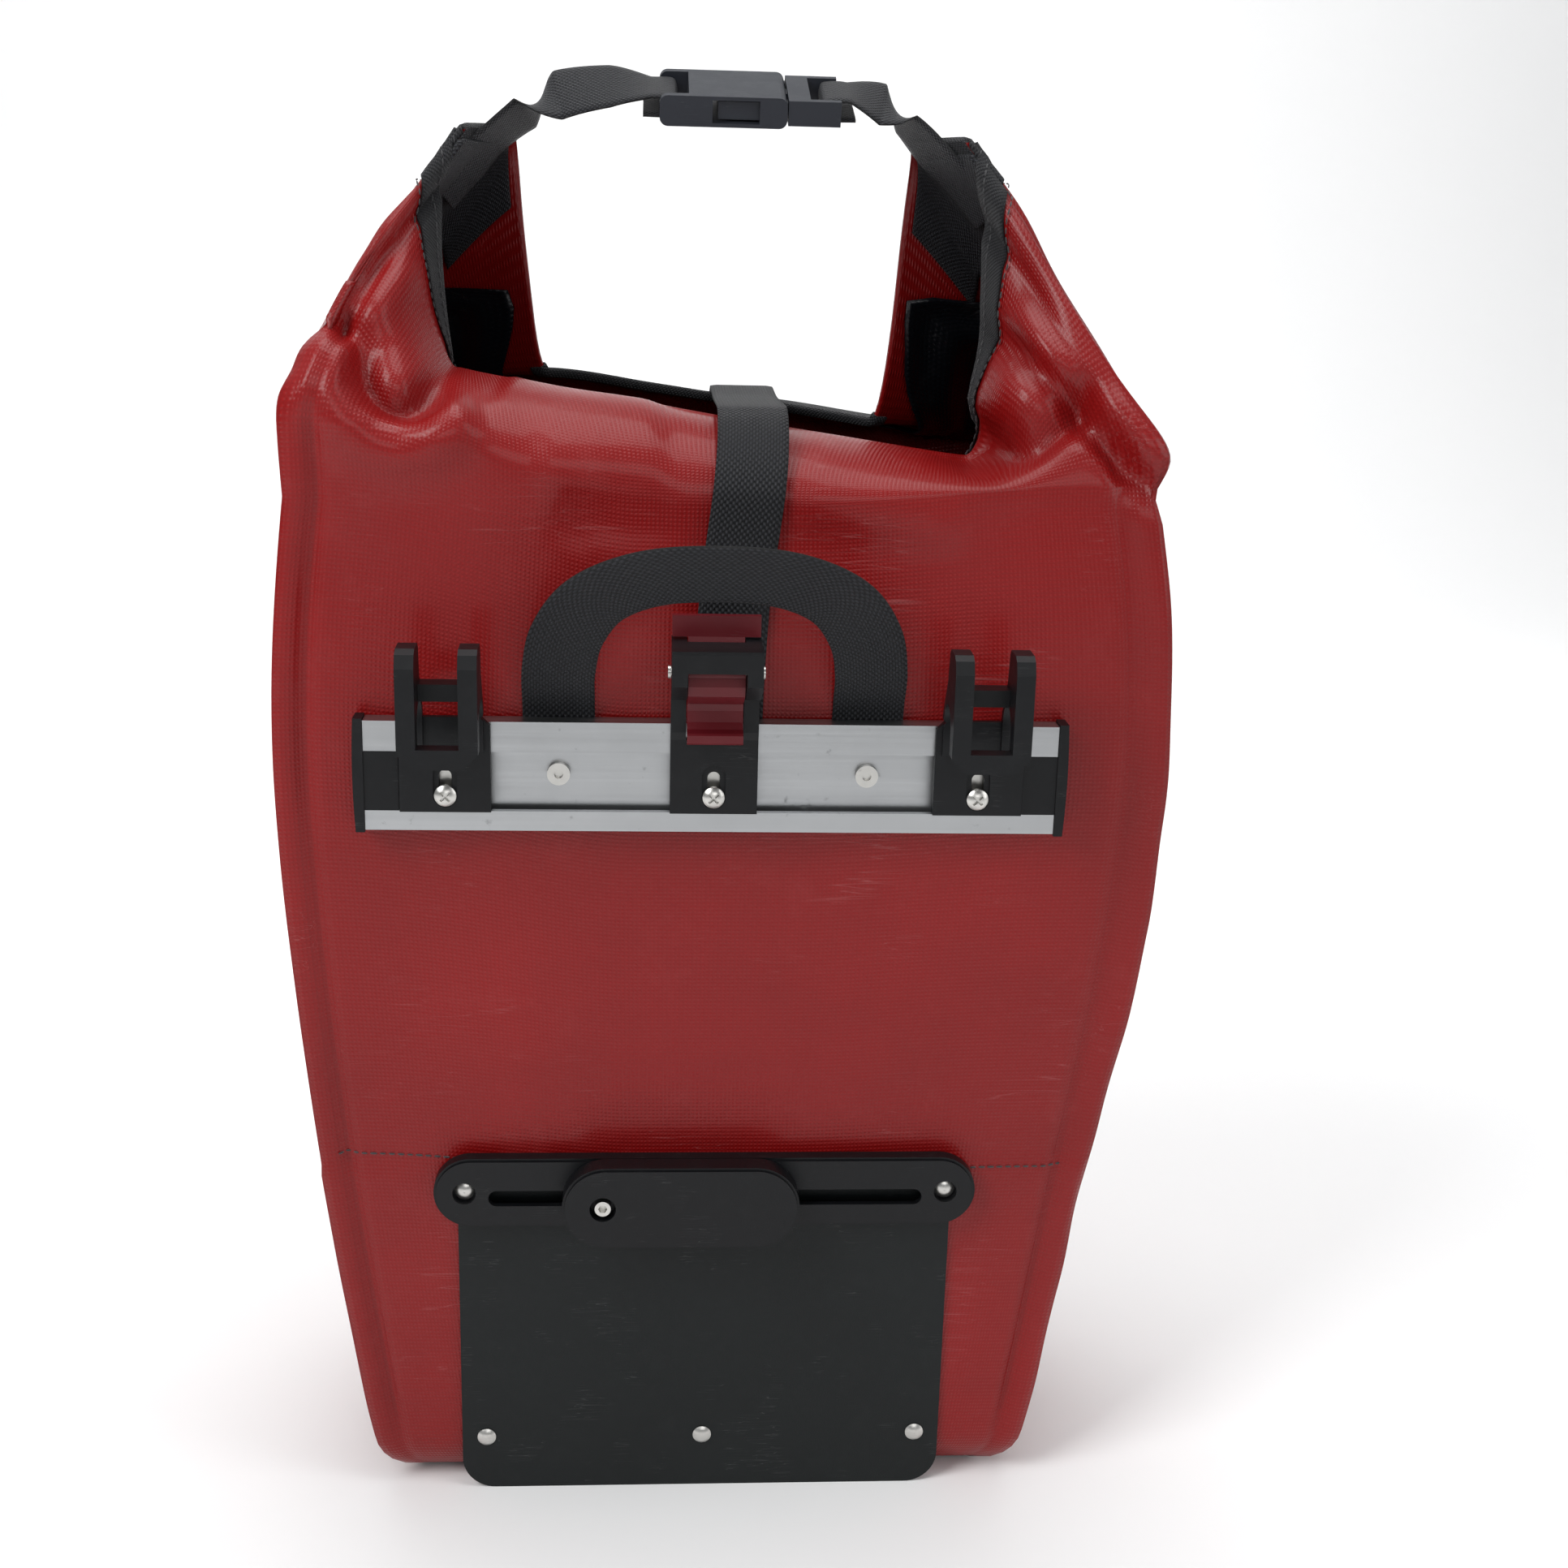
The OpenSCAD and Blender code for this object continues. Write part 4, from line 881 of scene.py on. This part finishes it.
def horn_patches():
    """Webbing sewn inside the top of each horn, where the straps of the mouth start."""
    for name, mid, low, high in (("horn_patch_left", 180, -31, 20), ("horn_patch_right", 0, -20, 31)):
        part = SHELL["pts"][LOW_ROWS + PATCH_ROWS:-2, columns(mid, low, high)]
        body = part - normals(part) * (WALL + 1.1)
        ob = grid_object(name, body, cloth_coordinates(body), MATS["seat"], wrap=False, thick=1.2)
        ride_or_follow(ob, mid == 0)


# ---------------------------------------------------------------- straps
WEB = 1.6                           # thickness of the webbing
ON_FACE = FACE_Y - 0.95             # middle of webbing that lies on the rack side
BAR_OUT = 2.2 + 0.3 + 0.8           # half a buckle's bar, the gap, half the webbing
SOCKET_BAR, PLUG_BAR = 44, 17.15    # from a buckle's middle to its two bars
HANDLE_X, HANDLE_RISE = 55, 67.5    # half the handle's span, and its length above the fold
HANDLE_FOLD = 319.0                 # height where the handle leaves the rack side
HANDLE_LEAN = math.radians(34)
STRAP_X = 9.0                       # middle of the compression strap
DROP_TOP, DROP_Y = 378.0, 91.0      # where the strap leaves the road side, and the clip's distance behind
CLIP_TOP, CLIP_Z = 334.0, 317.0     # the clip's upper end and its middle
BUCKLE = Vector((25, RIM_Y, 528))   # middle of the top buckle
LEAN = math.radians(18)             # how far the loop over the mouth leans


def web_width():
    """Width of the webbing, in millimetres."""
    return bpy.context.scene.pannier_shape.webbing_width / MM


def handle():
    """Carry handle: webbing bent edgewise into an arch that leans away from the bag."""
    def leaning_out(x, s):
        return (x, ON_FACE - s * math.sin(HANDLE_LEAN), HANDLE_FOLD + s * math.cos(HANDLE_LEAN))

    half = [(-HANDLE_X, ON_FACE, z) for z in (284, 300, 313)]
    half += [leaning_out(x, s) for x, s in ((-HANDLE_X, 4), (-54.5, 20), (-51, 38), (-41, 55), (-23, 65))]
    pts = half + [leaning_out(0, HANDLE_RISE)] + [(-x, y, z) for x, y, z in reversed(half)]
    arch_front = Vector((0, -math.cos(HANDLE_LEAN), -math.sin(HANDLE_LEAN)))
    across = []
    v = [Vector(p) for p in pts]
    for i in range(len(v)):
        along = (v[min(i + 1, len(v) - 1)] - v[max(i - 1, 0)]).normalized()
        front = arch_front if 2 < i < len(v) - 3 else Vector((0, -1, 0))
        across.append(along.cross(front))
    ob = ribbon("handle_webbing", pts, across, MATS["webbing"], web_width() + 0.5, WEB + 0.1, 150, 14, 0.5)
    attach(ob, "bag")
    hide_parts("carry_handle")


def over(y0, y1, top, a, off):
    """A quarter of an ellipse over the closing top: from y0 at the shoulder to y1, off the cloth."""
    shoulder = bag_size()[2]
    return (y1 + (y0 - y1) * (1 + off / abs(y0 - y1)) * math.cos(math.radians(a)),
            shoulder + (top - shoulder + off) * math.sin(math.radians(a)))


def compression():
    """The strap over the mouth, its drop to the clip, the loop round the clip's bar and the lower strap."""
    road = back_y(bag_size()[2])
    yz = [(ON_FACE, 284), (ON_FACE, 322), (FACE_Y - WEB, 360)]
    yz += [over(FACE_Y, -44, 419.5, a, 2.2) for a in range(0, 91, 15)]
    yz += [(-10, 420), (20, 418.5)]
    yz += [over(road, 48, 416.5, a, 2.4) for a in range(90, -1, -15)]
    yz += [(back_y(DROP_TOP) + WEB, DROP_TOP)]
    pts = [(STRAP_X - 4 + 8 * smooth(330, 430, z) if y < 0 else STRAP_X + 4, y, z) for y, z in yz]
    top = flat_strap("compression_webbing", pts, 170)
    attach(top, "bag")
    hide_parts("compression_strap")
    drop = flat_strap("compression_drop", [(STRAP_X + 4, back_y(DROP_TOP) + WEB, DROP_TOP - 0.2),
                                           (STRAP_X + 2, 84.6, 362), (STRAP_X, DROP_Y, CLIP_TOP + 12)], 30)
    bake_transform(drop)
    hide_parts("compression_strap_drop")
    bar = CLIP_Z + PLUG_BAR
    loop = flat_strap("compression_loop", [
        on_clip(-0.2, bar + 11.5), on_clip(0.4 - BAR_OUT, bar + 6), on_clip(-BAR_OUT, bar),
        on_clip(0.6 - BAR_OUT, bar - 3), on_clip(0, bar - 3.6), on_clip(BAR_OUT - 0.6, bar - 3),
        on_clip(BAR_OUT, bar), on_clip(BAR_OUT, bar + 9)], 60)
    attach(loop, "strap_clip")
    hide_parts("compression_strap_loop")
    bar = CLIP_Z - SOCKET_BAR
    end = bar - 44
    lower = flat_strap("compression_lower", [
        on_clip(BAR_OUT, bar - 14), on_clip(BAR_OUT, bar + 1), on_clip(BAR_OUT - 0.6, bar + 3),
        on_clip(0, bar + 3.7), on_clip(0.6 - BAR_OUT, bar + 3), on_clip(-BAR_OUT, bar + 1),
        on_clip(-BAR_OUT, bar - 5), (STRAP_X, back_y(end + 26) + WEB, end + 24),
        (STRAP_X, back_y(end) + WEB, end)], 90)
    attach(lower, "bag")
    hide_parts("compression_strap_lower")


def on_clip(out, z):
    """A point of the strap at the clip: out is its distance from the bars' middle, away from the bag."""
    return (STRAP_X, DROP_Y + out, z)


def flat_strap(name, pts, n):
    """Webbing whose width runs along X all the way."""
    return ribbon(name, pts, [(1, 0, 0)], MATS["webbing"], web_width(), WEB, n, 10)


def thin_strap(name, pts, across):
    """Webbing of the loop over the mouth: a little narrower and thinner than the rest."""
    return ribbon(name, pts, across, MATS["seat"], web_width() - 0.5, WEB - 0.1, 150, 10)


def on_loop(x, out):
    """A point of the loop over the mouth, which leans towards the rack: out is upwards from the buckle."""
    return (x, BUCKLE.y - out * math.sin(LEAN), BUCKLE.z + out * math.cos(LEAN))


def inside_horn(mid, rows_down):
    """Points up the middle of a horn's inner wall, the given numbers of rows below its edge."""
    away = [abs((side_r(k, v) - mid + 180) % 360 - 180) for k, v in shell_grid()[0]]
    column = SHELL["pts"][:, away.index(min(away))]
    inward = 5.2 if mid == 180 else -5.2
    return [tuple(Vector(column[-1 - n]) + Vector((inward, 1.5, 0))) for n in rows_down]


def top_straps():
    """The two straps from inside the horns to the buckle, each once round its bar."""
    bar = BUCKLE.x - SOCKET_BAR
    flat = (0, -math.cos(LEAN), -math.sin(LEAN))
    wall_left, wall_right = (-0.49, -0.87, 0), (0.49, -0.87, 0)
    pts = inside_horn(180, (14, 9, 3)) + [(-70, RIM_Y + 2, 521), (-58, RIM_Y, 527.5)]
    pts += [on_loop(bar - 20, BAR_OUT), on_loop(bar - 5, BAR_OUT), on_loop(bar + 2, BAR_OUT),
            on_loop(bar + 3.6, 1.8), on_loop(bar + 3.6, -1.8), on_loop(bar + 2, -BAR_OUT),
            on_loop(bar - 8, -BAR_OUT)]
    across = [wall_left] * 3 + [(-0.2, -0.7, 0.3), (0.1, -0.7, -0.7), (0, -0.8, -0.6)] + [flat] * 6
    left = thin_strap("top_strap_left_webbing", pts, across)
    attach(left, "bag")
    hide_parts("top_strap_left", "end_patch_left")
    bar = BUCKLE.x + PLUG_BAR
    pts = [on_loop(bar + 8, -BAR_OUT), on_loop(bar - 2, -BAR_OUT), on_loop(bar - 3.6, -1.8),
           on_loop(bar - 3.6, 1.8), on_loop(bar - 2, BAR_OUT), on_loop(bar + 6, BAR_OUT)]
    pts += [(61, RIM_Y, 527.5), (70, RIM_Y + 2, 521)] + inside_horn(0, (3, 9, 14))
    across = [flat] * 6 + [(0, -0.75, -0.65), (0.2, -0.7, 0.1)] + [wall_right] * 3
    right = thin_strap("top_strap_right_webbing", pts, across)
    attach(right, "mouth_end")
    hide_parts("top_strap_right", "end_patch_right")


def strip_backing():
    """A black strip in the plate's cutout, behind the track, so that the slot is dark inside."""
    ends = [(x, FACE_Y - 1.9, 133.4) for x in (-86, 0, 86)]
    ob = ribbon("strip_backing", ends, [(0, 0, 1)], MATS["plate"], 17, 0.7, 40, 6)
    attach(ob, "bag")


# ---------------------------------------------------------------- stitches
def stitch_tree():
    """Stitches laid end to end along a line: each is a short rounded rod that follows it."""
    g = bpy.data.node_groups.new("stitch_rows", "GeometryNodeTree")
    face = g.interface
    face.new_socket("Geometry", in_out="INPUT", socket_type="NodeSocketGeometry")
    for name, value in (("Pitch", 0.0034), ("Stitch length", 0.0026), ("Thread radius", 0.0003)):
        s = face.new_socket(name, in_out="INPUT", socket_type="NodeSocketFloat")
        s.default_value = value
        s.subtype = "DISTANCE"
    s = face.new_socket("Seed", in_out="INPUT", socket_type="NodeSocketInt")
    s.default_value = 7
    face.new_socket("Thread", in_out="INPUT", socket_type="NodeSocketMaterial")
    face.new_socket("Geometry", in_out="OUTPUT", socket_type="NodeSocketGeometry")
    new = g.nodes.new
    given, result = new("NodeGroupInput").outputs, new("NodeGroupOutput")
    line = new("GeometryNodeMeshToCurve")
    places = new("GeometryNodeCurveToPoints")
    places.mode = "LENGTH"
    rod = new("GeometryNodeMeshUVSphere")
    for name, value in (("Segments", 6), ("Rings", 6), ("Radius", 1)):
        rod.inputs[name].default_value = value
    size = new("ShaderNodeCombineXYZ")
    half = new("ShaderNodeMath")
    half.operation = "MULTIPLY"
    half.inputs[1].default_value = 0.5
    stitch = new("GeometryNodeTransform")
    laid = new("GeometryNodeInstanceOnPoints")
    uneven = new("FunctionNodeRandomValue")
    uneven.data_type = "FLOAT"
    uneven.inputs[2].default_value = 0.88
    uneven.inputs[3].default_value = 1.08
    real = new("GeometryNodeRealizeInstances")
    smoothed = new("GeometryNodeSetShadeSmooth")
    coloured = new("GeometryNodeSetMaterial")
    for source, target in (
            (given["Geometry"], line.inputs[0]),
            (line.outputs[0], places.inputs["Curve"]),
            (given["Pitch"], places.inputs["Length"]),
            (given["Stitch length"], half.inputs[0]),
            (half.outputs[0], size.inputs[2]),
            (given["Thread radius"], size.inputs[0]),
            (given["Thread radius"], size.inputs[1]),
            (rod.outputs[0], stitch.inputs["Geometry"]),
            (size.outputs[0], stitch.inputs["Scale"]),
            (places.outputs["Points"], laid.inputs["Points"]),
            (stitch.outputs[0], laid.inputs["Instance"]),
            (places.outputs["Rotation"], laid.inputs["Rotation"]),
            (given["Seed"], uneven.inputs["Seed"]),
            (uneven.outputs[1], laid.inputs["Scale"]),
            (laid.outputs[0], real.inputs[0]),
            (real.outputs[0], smoothed.inputs[0]),
            (smoothed.outputs[0], coloured.inputs["Geometry"]),
            (given["Thread"], coloured.inputs["Material"]),
            (coloured.outputs[0], result.inputs[0])):
        g.links.new(source, target)
    return g


def stitch_rows(name, lines, radius=0.32):
    """Lines of points in millimetres become rows of stitches."""
    shape = bpy.context.scene.pannier_shape
    verts, edges = [], []
    for line in lines:
        start = len(verts)
        verts += [tuple(p) for p in line]
        edges += [(i, i + 1) for i in range(start, len(verts) - 1)]
    me = bpy.data.meshes.new(name)
    me.from_pydata([(x * MM, y * MM, z * MM) for x, y, z in verts], edges, [])
    ob = bpy.data.objects.new(name, me)
    bpy.context.scene.collection.objects.link(ob)
    tree = bpy.data.node_groups.get("stitch_rows") or stitch_tree()
    mod = ob.modifiers.new("stitches", "NODES")
    mod.node_group = tree
    ids = {s.name: s.identifier for s in tree.interface.items_tree
           if s.item_type == "SOCKET" and s.in_out == "INPUT"}
    mod[ids["Pitch"]] = shape.stitch_pitch
    mod[ids["Stitch length"]] = shape.stitch_length
    mod[ids["Thread radius"]] = radius * MM
    mod[ids["Seed"]] = shape.seed
    mod[ids["Thread"]] = MATS["thread"]
    finish_mods(ob)
    return ob


def shell_line(row, picks, off):
    """Points on the shell along one row, lifted off it."""
    pts = SHELL["pts"]
    last_row, n = len(pts) - 1, pts.shape[1]
    out = []
    for j in picks:
        along = pts[row, (j + 1) % n] - pts[row, (j - 1) % n]
        upwards = pts[min(row + 1, last_row), j] - pts[row - 1, j]
        outwards = np.cross(along, upwards)
        out.append(pts[row, j] + outwards / max(np.linalg.norm(outwards), 1e-9) * off)
    return out


def stitches():
    """The seam across the rack side, and two rows on each drawn-up end's binding."""
    first, n = sum(SIDE_COUNT[:3]), sum(SIDE_COUNT)
    seam = PANEL_SEAM - 4
    row = min(range(LOW_ROWS), key=lambda i: abs(SHELL["pts"][i, first + 50, 2] - seam))
    ob = stitch_rows("stitches_panel", [shell_line(row, range(first + 3, n - 3), 0.25)], 0.36)
    ride_or_follow(ob, False)
    last = LOW_ROWS + TOP_ROWS
    for name, mid in (("stitches_left", 180), ("stitches_right", 0)):
        end = columns(mid, -46, 46)
        ob = stitch_rows(name, [shell_line(last - down, end, 1.15) for down in STITCHED_ROWS])
        ride_or_follow(ob, mid == 0)


# ---------------------------------------------------------------- hard pieces
FINISH = {
    "rail": "rail",
    "zinc": "rail_bolts rail_nuts hook_screw_left hook_screw_right hook_nut_left hook_nut_right catch_screw "
            "catch_nut arm_bolt arm_nut strip_rivets plate_rivets rivet_washers catch_pin",
    "spring": "catch_spring",
    "plastic": "rail_end_cap_left rail_end_cap_right hook_left hook_right catch_housing track_strip "
               "lower_arm compression_plug compression_prong_left compression_prong_right "
               "compression_socket",
    "buckle": "buckle_socket buckle_plug buckle_prong_rack buckle_prong_road",
    "lever": "catch_lever",
    "plate": "scuff_plate stiffener_board",
}


def hard_pieces():
    """Gives each moulded, drawn or turned piece its finish, with its mesh left as it is."""
    for finish, names in FINISH.items():
        for name in names.split():
            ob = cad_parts[name]
            ob.data.materials.clear()
            ob.data.materials.append(MATS[finish])


# ---------------------------------------------------------------- stage
def area(name, place, target, size, power):
    """A soft rectangular light at a place, turned to a target."""
    light = bpy.data.lights.new(name, "AREA")
    light.shape = "RECTANGLE"
    light.size, light.size_y = size
    light.energy = power
    ob = bpy.data.objects.new(name, light)
    ob.location = place
    ob.rotation_euler = (Vector(target) - Vector(place)).to_track_quat("-Z", "Y").to_euler()
    bpy.context.scene.collection.objects.link(ob)


def camera():
    """The camera in front of the rack side, a little above it and turned slightly on its axis."""
    cam = bpy.data.cameras.new("camera")
    cam.sensor_width = 36
    cam.lens = 47.85
    eye = bpy.data.objects.new("camera", cam)
    yaw, pitch, roll = (math.radians(a) for a in (3.90, 16.65, 1.57))
    ahead = Vector((math.sin(yaw) * math.cos(pitch), math.cos(yaw) * math.cos(pitch), -math.sin(pitch)))
    side = Vector((math.cos(yaw), -math.sin(yaw), 0))
    up = side.cross(ahead)
    side, up = side * math.cos(roll) + up * math.sin(roll), up * math.cos(roll) - side * math.sin(roll)
    eye.matrix_world = Matrix((
        (side.x, up.x, -ahead.x, -0.0233), (side.y, up.y, -ahead.y, -0.7998),
        (side.z, up.z, -ahead.z, 0.5069), (0, 0, 0, 1)))
    bpy.context.scene.collection.objects.link(eye)
    bpy.context.scene.camera = eye


def paper_profile(a):
    """Depth and height of the studio paper at share a of it: flat, then curved up behind the bag."""
    if a <= 0.6:
        return -2.6 + 4.2 * min(a / 0.6, 1), 0.0
    b = (a - 0.6) / 0.4
    return 1.6 + 1.2 * math.sin(b * math.pi / 2), 1.2 * (1 - math.cos(b * math.pi / 2)) + 16 * max(0, b - 0.9)


def studio_floor():
    """A wide sheet of pale paper."""
    steps, half = 40, 3.4
    profile = [paper_profile(i / steps) for i in range(steps + 1)]
    verts = [(x / MM, y / MM, z / MM) for y, z in profile for x in (-half, half)]
    faces = [(2 * i, 2 * i + 1, 2 * i + 3, 2 * i + 2) for i in range(steps)]
    t = Tree("studio_paper")
    t.set(Base_Color=(0.90, 0.90, 0.90, 1), Roughness=0.85, Specular_IOR_Level=0.1)
    make("studio_floor", verts, faces, t.mat)


def surroundings():
    """A pale surrounding that lights the bag less than it shows."""
    world = bpy.data.worlds.new("studio")
    world.use_nodes = True
    nodes, links = world.node_tree.nodes, world.node_tree.links
    background = nodes["Background"]
    background.inputs[0].default_value = (0.95, 0.97, 1.0, 1)
    seen = nodes.new("ShaderNodeLightPath")
    level = nodes.new("ShaderNodeMath")
    level.operation = "MULTIPLY_ADD"
    level.inputs[1].default_value = 0.68
    level.inputs[2].default_value = 0.20
    links.new(seen.outputs["Is Camera Ray"], level.inputs[0])
    links.new(level.outputs[0], background.inputs[1])
    bpy.context.scene.world = world


def stage():
    camera()
    studio_floor()
    surroundings()
    area("key", (-1.3, -1.1, 1.7), (0, 0, 0.28), (0.9, 1.3), 31)
    area("front", (0.25, -1.7, 1.0), (0, 0, 0.44), (1.1, 0.6), 4.5)
    area("fill", (1.6, -0.7, 0.9), (0, 0, 0.25), (0.8, 1.5), 8)
    area("backdrop", (0, 0.9, 1.9), (0, 2.6, 0.5), (2.4, 0.8), 34)
    area("top", (0.1, 0.1, 2.1), (0, 0, 0.3), (1.8, 1.2), 22)
    bpy.context.scene.view_settings.view_transform = "Standard"


# ---------------------------------------------------------------- operators
class PANNIER_OT_materials(Operator):
    """Makes the finish of every material on the bag"""
    bl_idname = "pannier.materials"
    bl_label = "Finishes"

    def execute(self, context):
        materials()
        return {"FINISHED"}


class PANNIER_OT_shell(Operator):
    """Makes the fabric shell with its folds, and the bag's floor"""
    bl_idname = "pannier.shell"
    bl_label = "Bag shell"

    def execute(self, context):
        shell()
        bag_floor()
        return {"FINISHED"}


class PANNIER_OT_lining(Operator):
    """Makes the stiff lining inside the two ends of the mouth, and the webbing patches above it"""
    bl_idname = "pannier.lining"
    bl_label = "Mouth lining"

    def execute(self, context):
        lining()
        horn_patches()
        return {"FINISHED"}


class PANNIER_OT_bindings(Operator):
    """Makes the webbing folded over the mouth's edge"""
    bl_idname = "pannier.bindings"
    bl_label = "Bindings"

    def execute(self, context):
        bindings()
        return {"FINISHED"}


class PANNIER_OT_handle(Operator):
    """Makes the carry handle of webbing bent edgewise"""
    bl_idname = "pannier.handle"
    bl_label = "Carry handle"

    def execute(self, context):
        handle()
        return {"FINISHED"}


class PANNIER_OT_compression(Operator):
    """Makes the strap over the mouth and down to its clip"""
    bl_idname = "pannier.compression"
    bl_label = "Compression strap"

    def execute(self, context):
        compression()
        return {"FINISHED"}


class PANNIER_OT_top_straps(Operator):
    """Makes the two straps that join the mouth's ends through the buckle"""
    bl_idname = "pannier.top_straps"
    bl_label = "Top straps"

    def execute(self, context):
        top_straps()
        return {"FINISHED"}


class PANNIER_OT_stitches(Operator):
    """Sews the rows of stitches along the bindings and the panel"""
    bl_idname = "pannier.stitches"
    bl_label = "Stitches"

    def execute(self, context):
        stitches()
        return {"FINISHED"}


class PANNIER_OT_hard_pieces(Operator):
    """Gives the rail, hooks, catch, buckles, arm and plate their finishes, and backs the strip's slot"""
    bl_idname = "pannier.hard_pieces"
    bl_label = "Hard pieces"

    def execute(self, context):
        hard_pieces()
        strip_backing()
        return {"FINISHED"}


class PANNIER_OT_stage(Operator):
    """Makes the floor, the lights and the camera"""
    bl_idname = "pannier.stage"
    bl_label = "Stage"

    def execute(self, context):
        stage()
        return {"FINISHED"}


class PANNIER_PT_panel(Panel):
    """Lists the steps that make the bag"""
    bl_idname = "PANNIER_PT_panel"
    bl_label = "Pannier bag"
    bl_space_type = "VIEW_3D"
    bl_region_type = "UI"
    bl_category = "Pannier"

    def draw(self, context):
        layout = self.layout
        for settings in (context.scene.pannier_shape, context.scene.pannier_colours):
            for name in settings.bl_rna.properties.keys():
                if name not in ("rna_type", "name"):
                    layout.prop(settings, name)
        for step in STEPS:
            layout.operator(step.bl_idname)


STEPS = (PANNIER_OT_materials, PANNIER_OT_shell, PANNIER_OT_lining, PANNIER_OT_bindings,
         PANNIER_OT_handle, PANNIER_OT_compression, PANNIER_OT_top_straps, PANNIER_OT_stitches,
         PANNIER_OT_hard_pieces, PANNIER_OT_stage)
CLASSES = (PannierShape, PannierColours, *STEPS, PANNIER_PT_panel)


def register():
    for cls in CLASSES:
        bpy.utils.register_class(cls)
    bpy.types.Scene.pannier_shape = PointerProperty(type=PannierShape)
    bpy.types.Scene.pannier_colours = PointerProperty(type=PannierColours)


def unregister():
    del bpy.types.Scene.pannier_colours
    del bpy.types.Scene.pannier_shape
    for cls in reversed(CLASSES):
        bpy.utils.unregister_class(cls)


def main():
    register()
    for step in STEPS:
        getattr(bpy.ops.pannier, step.bl_idname.split(".")[1])()


if __name__ == "__main__":
    main()
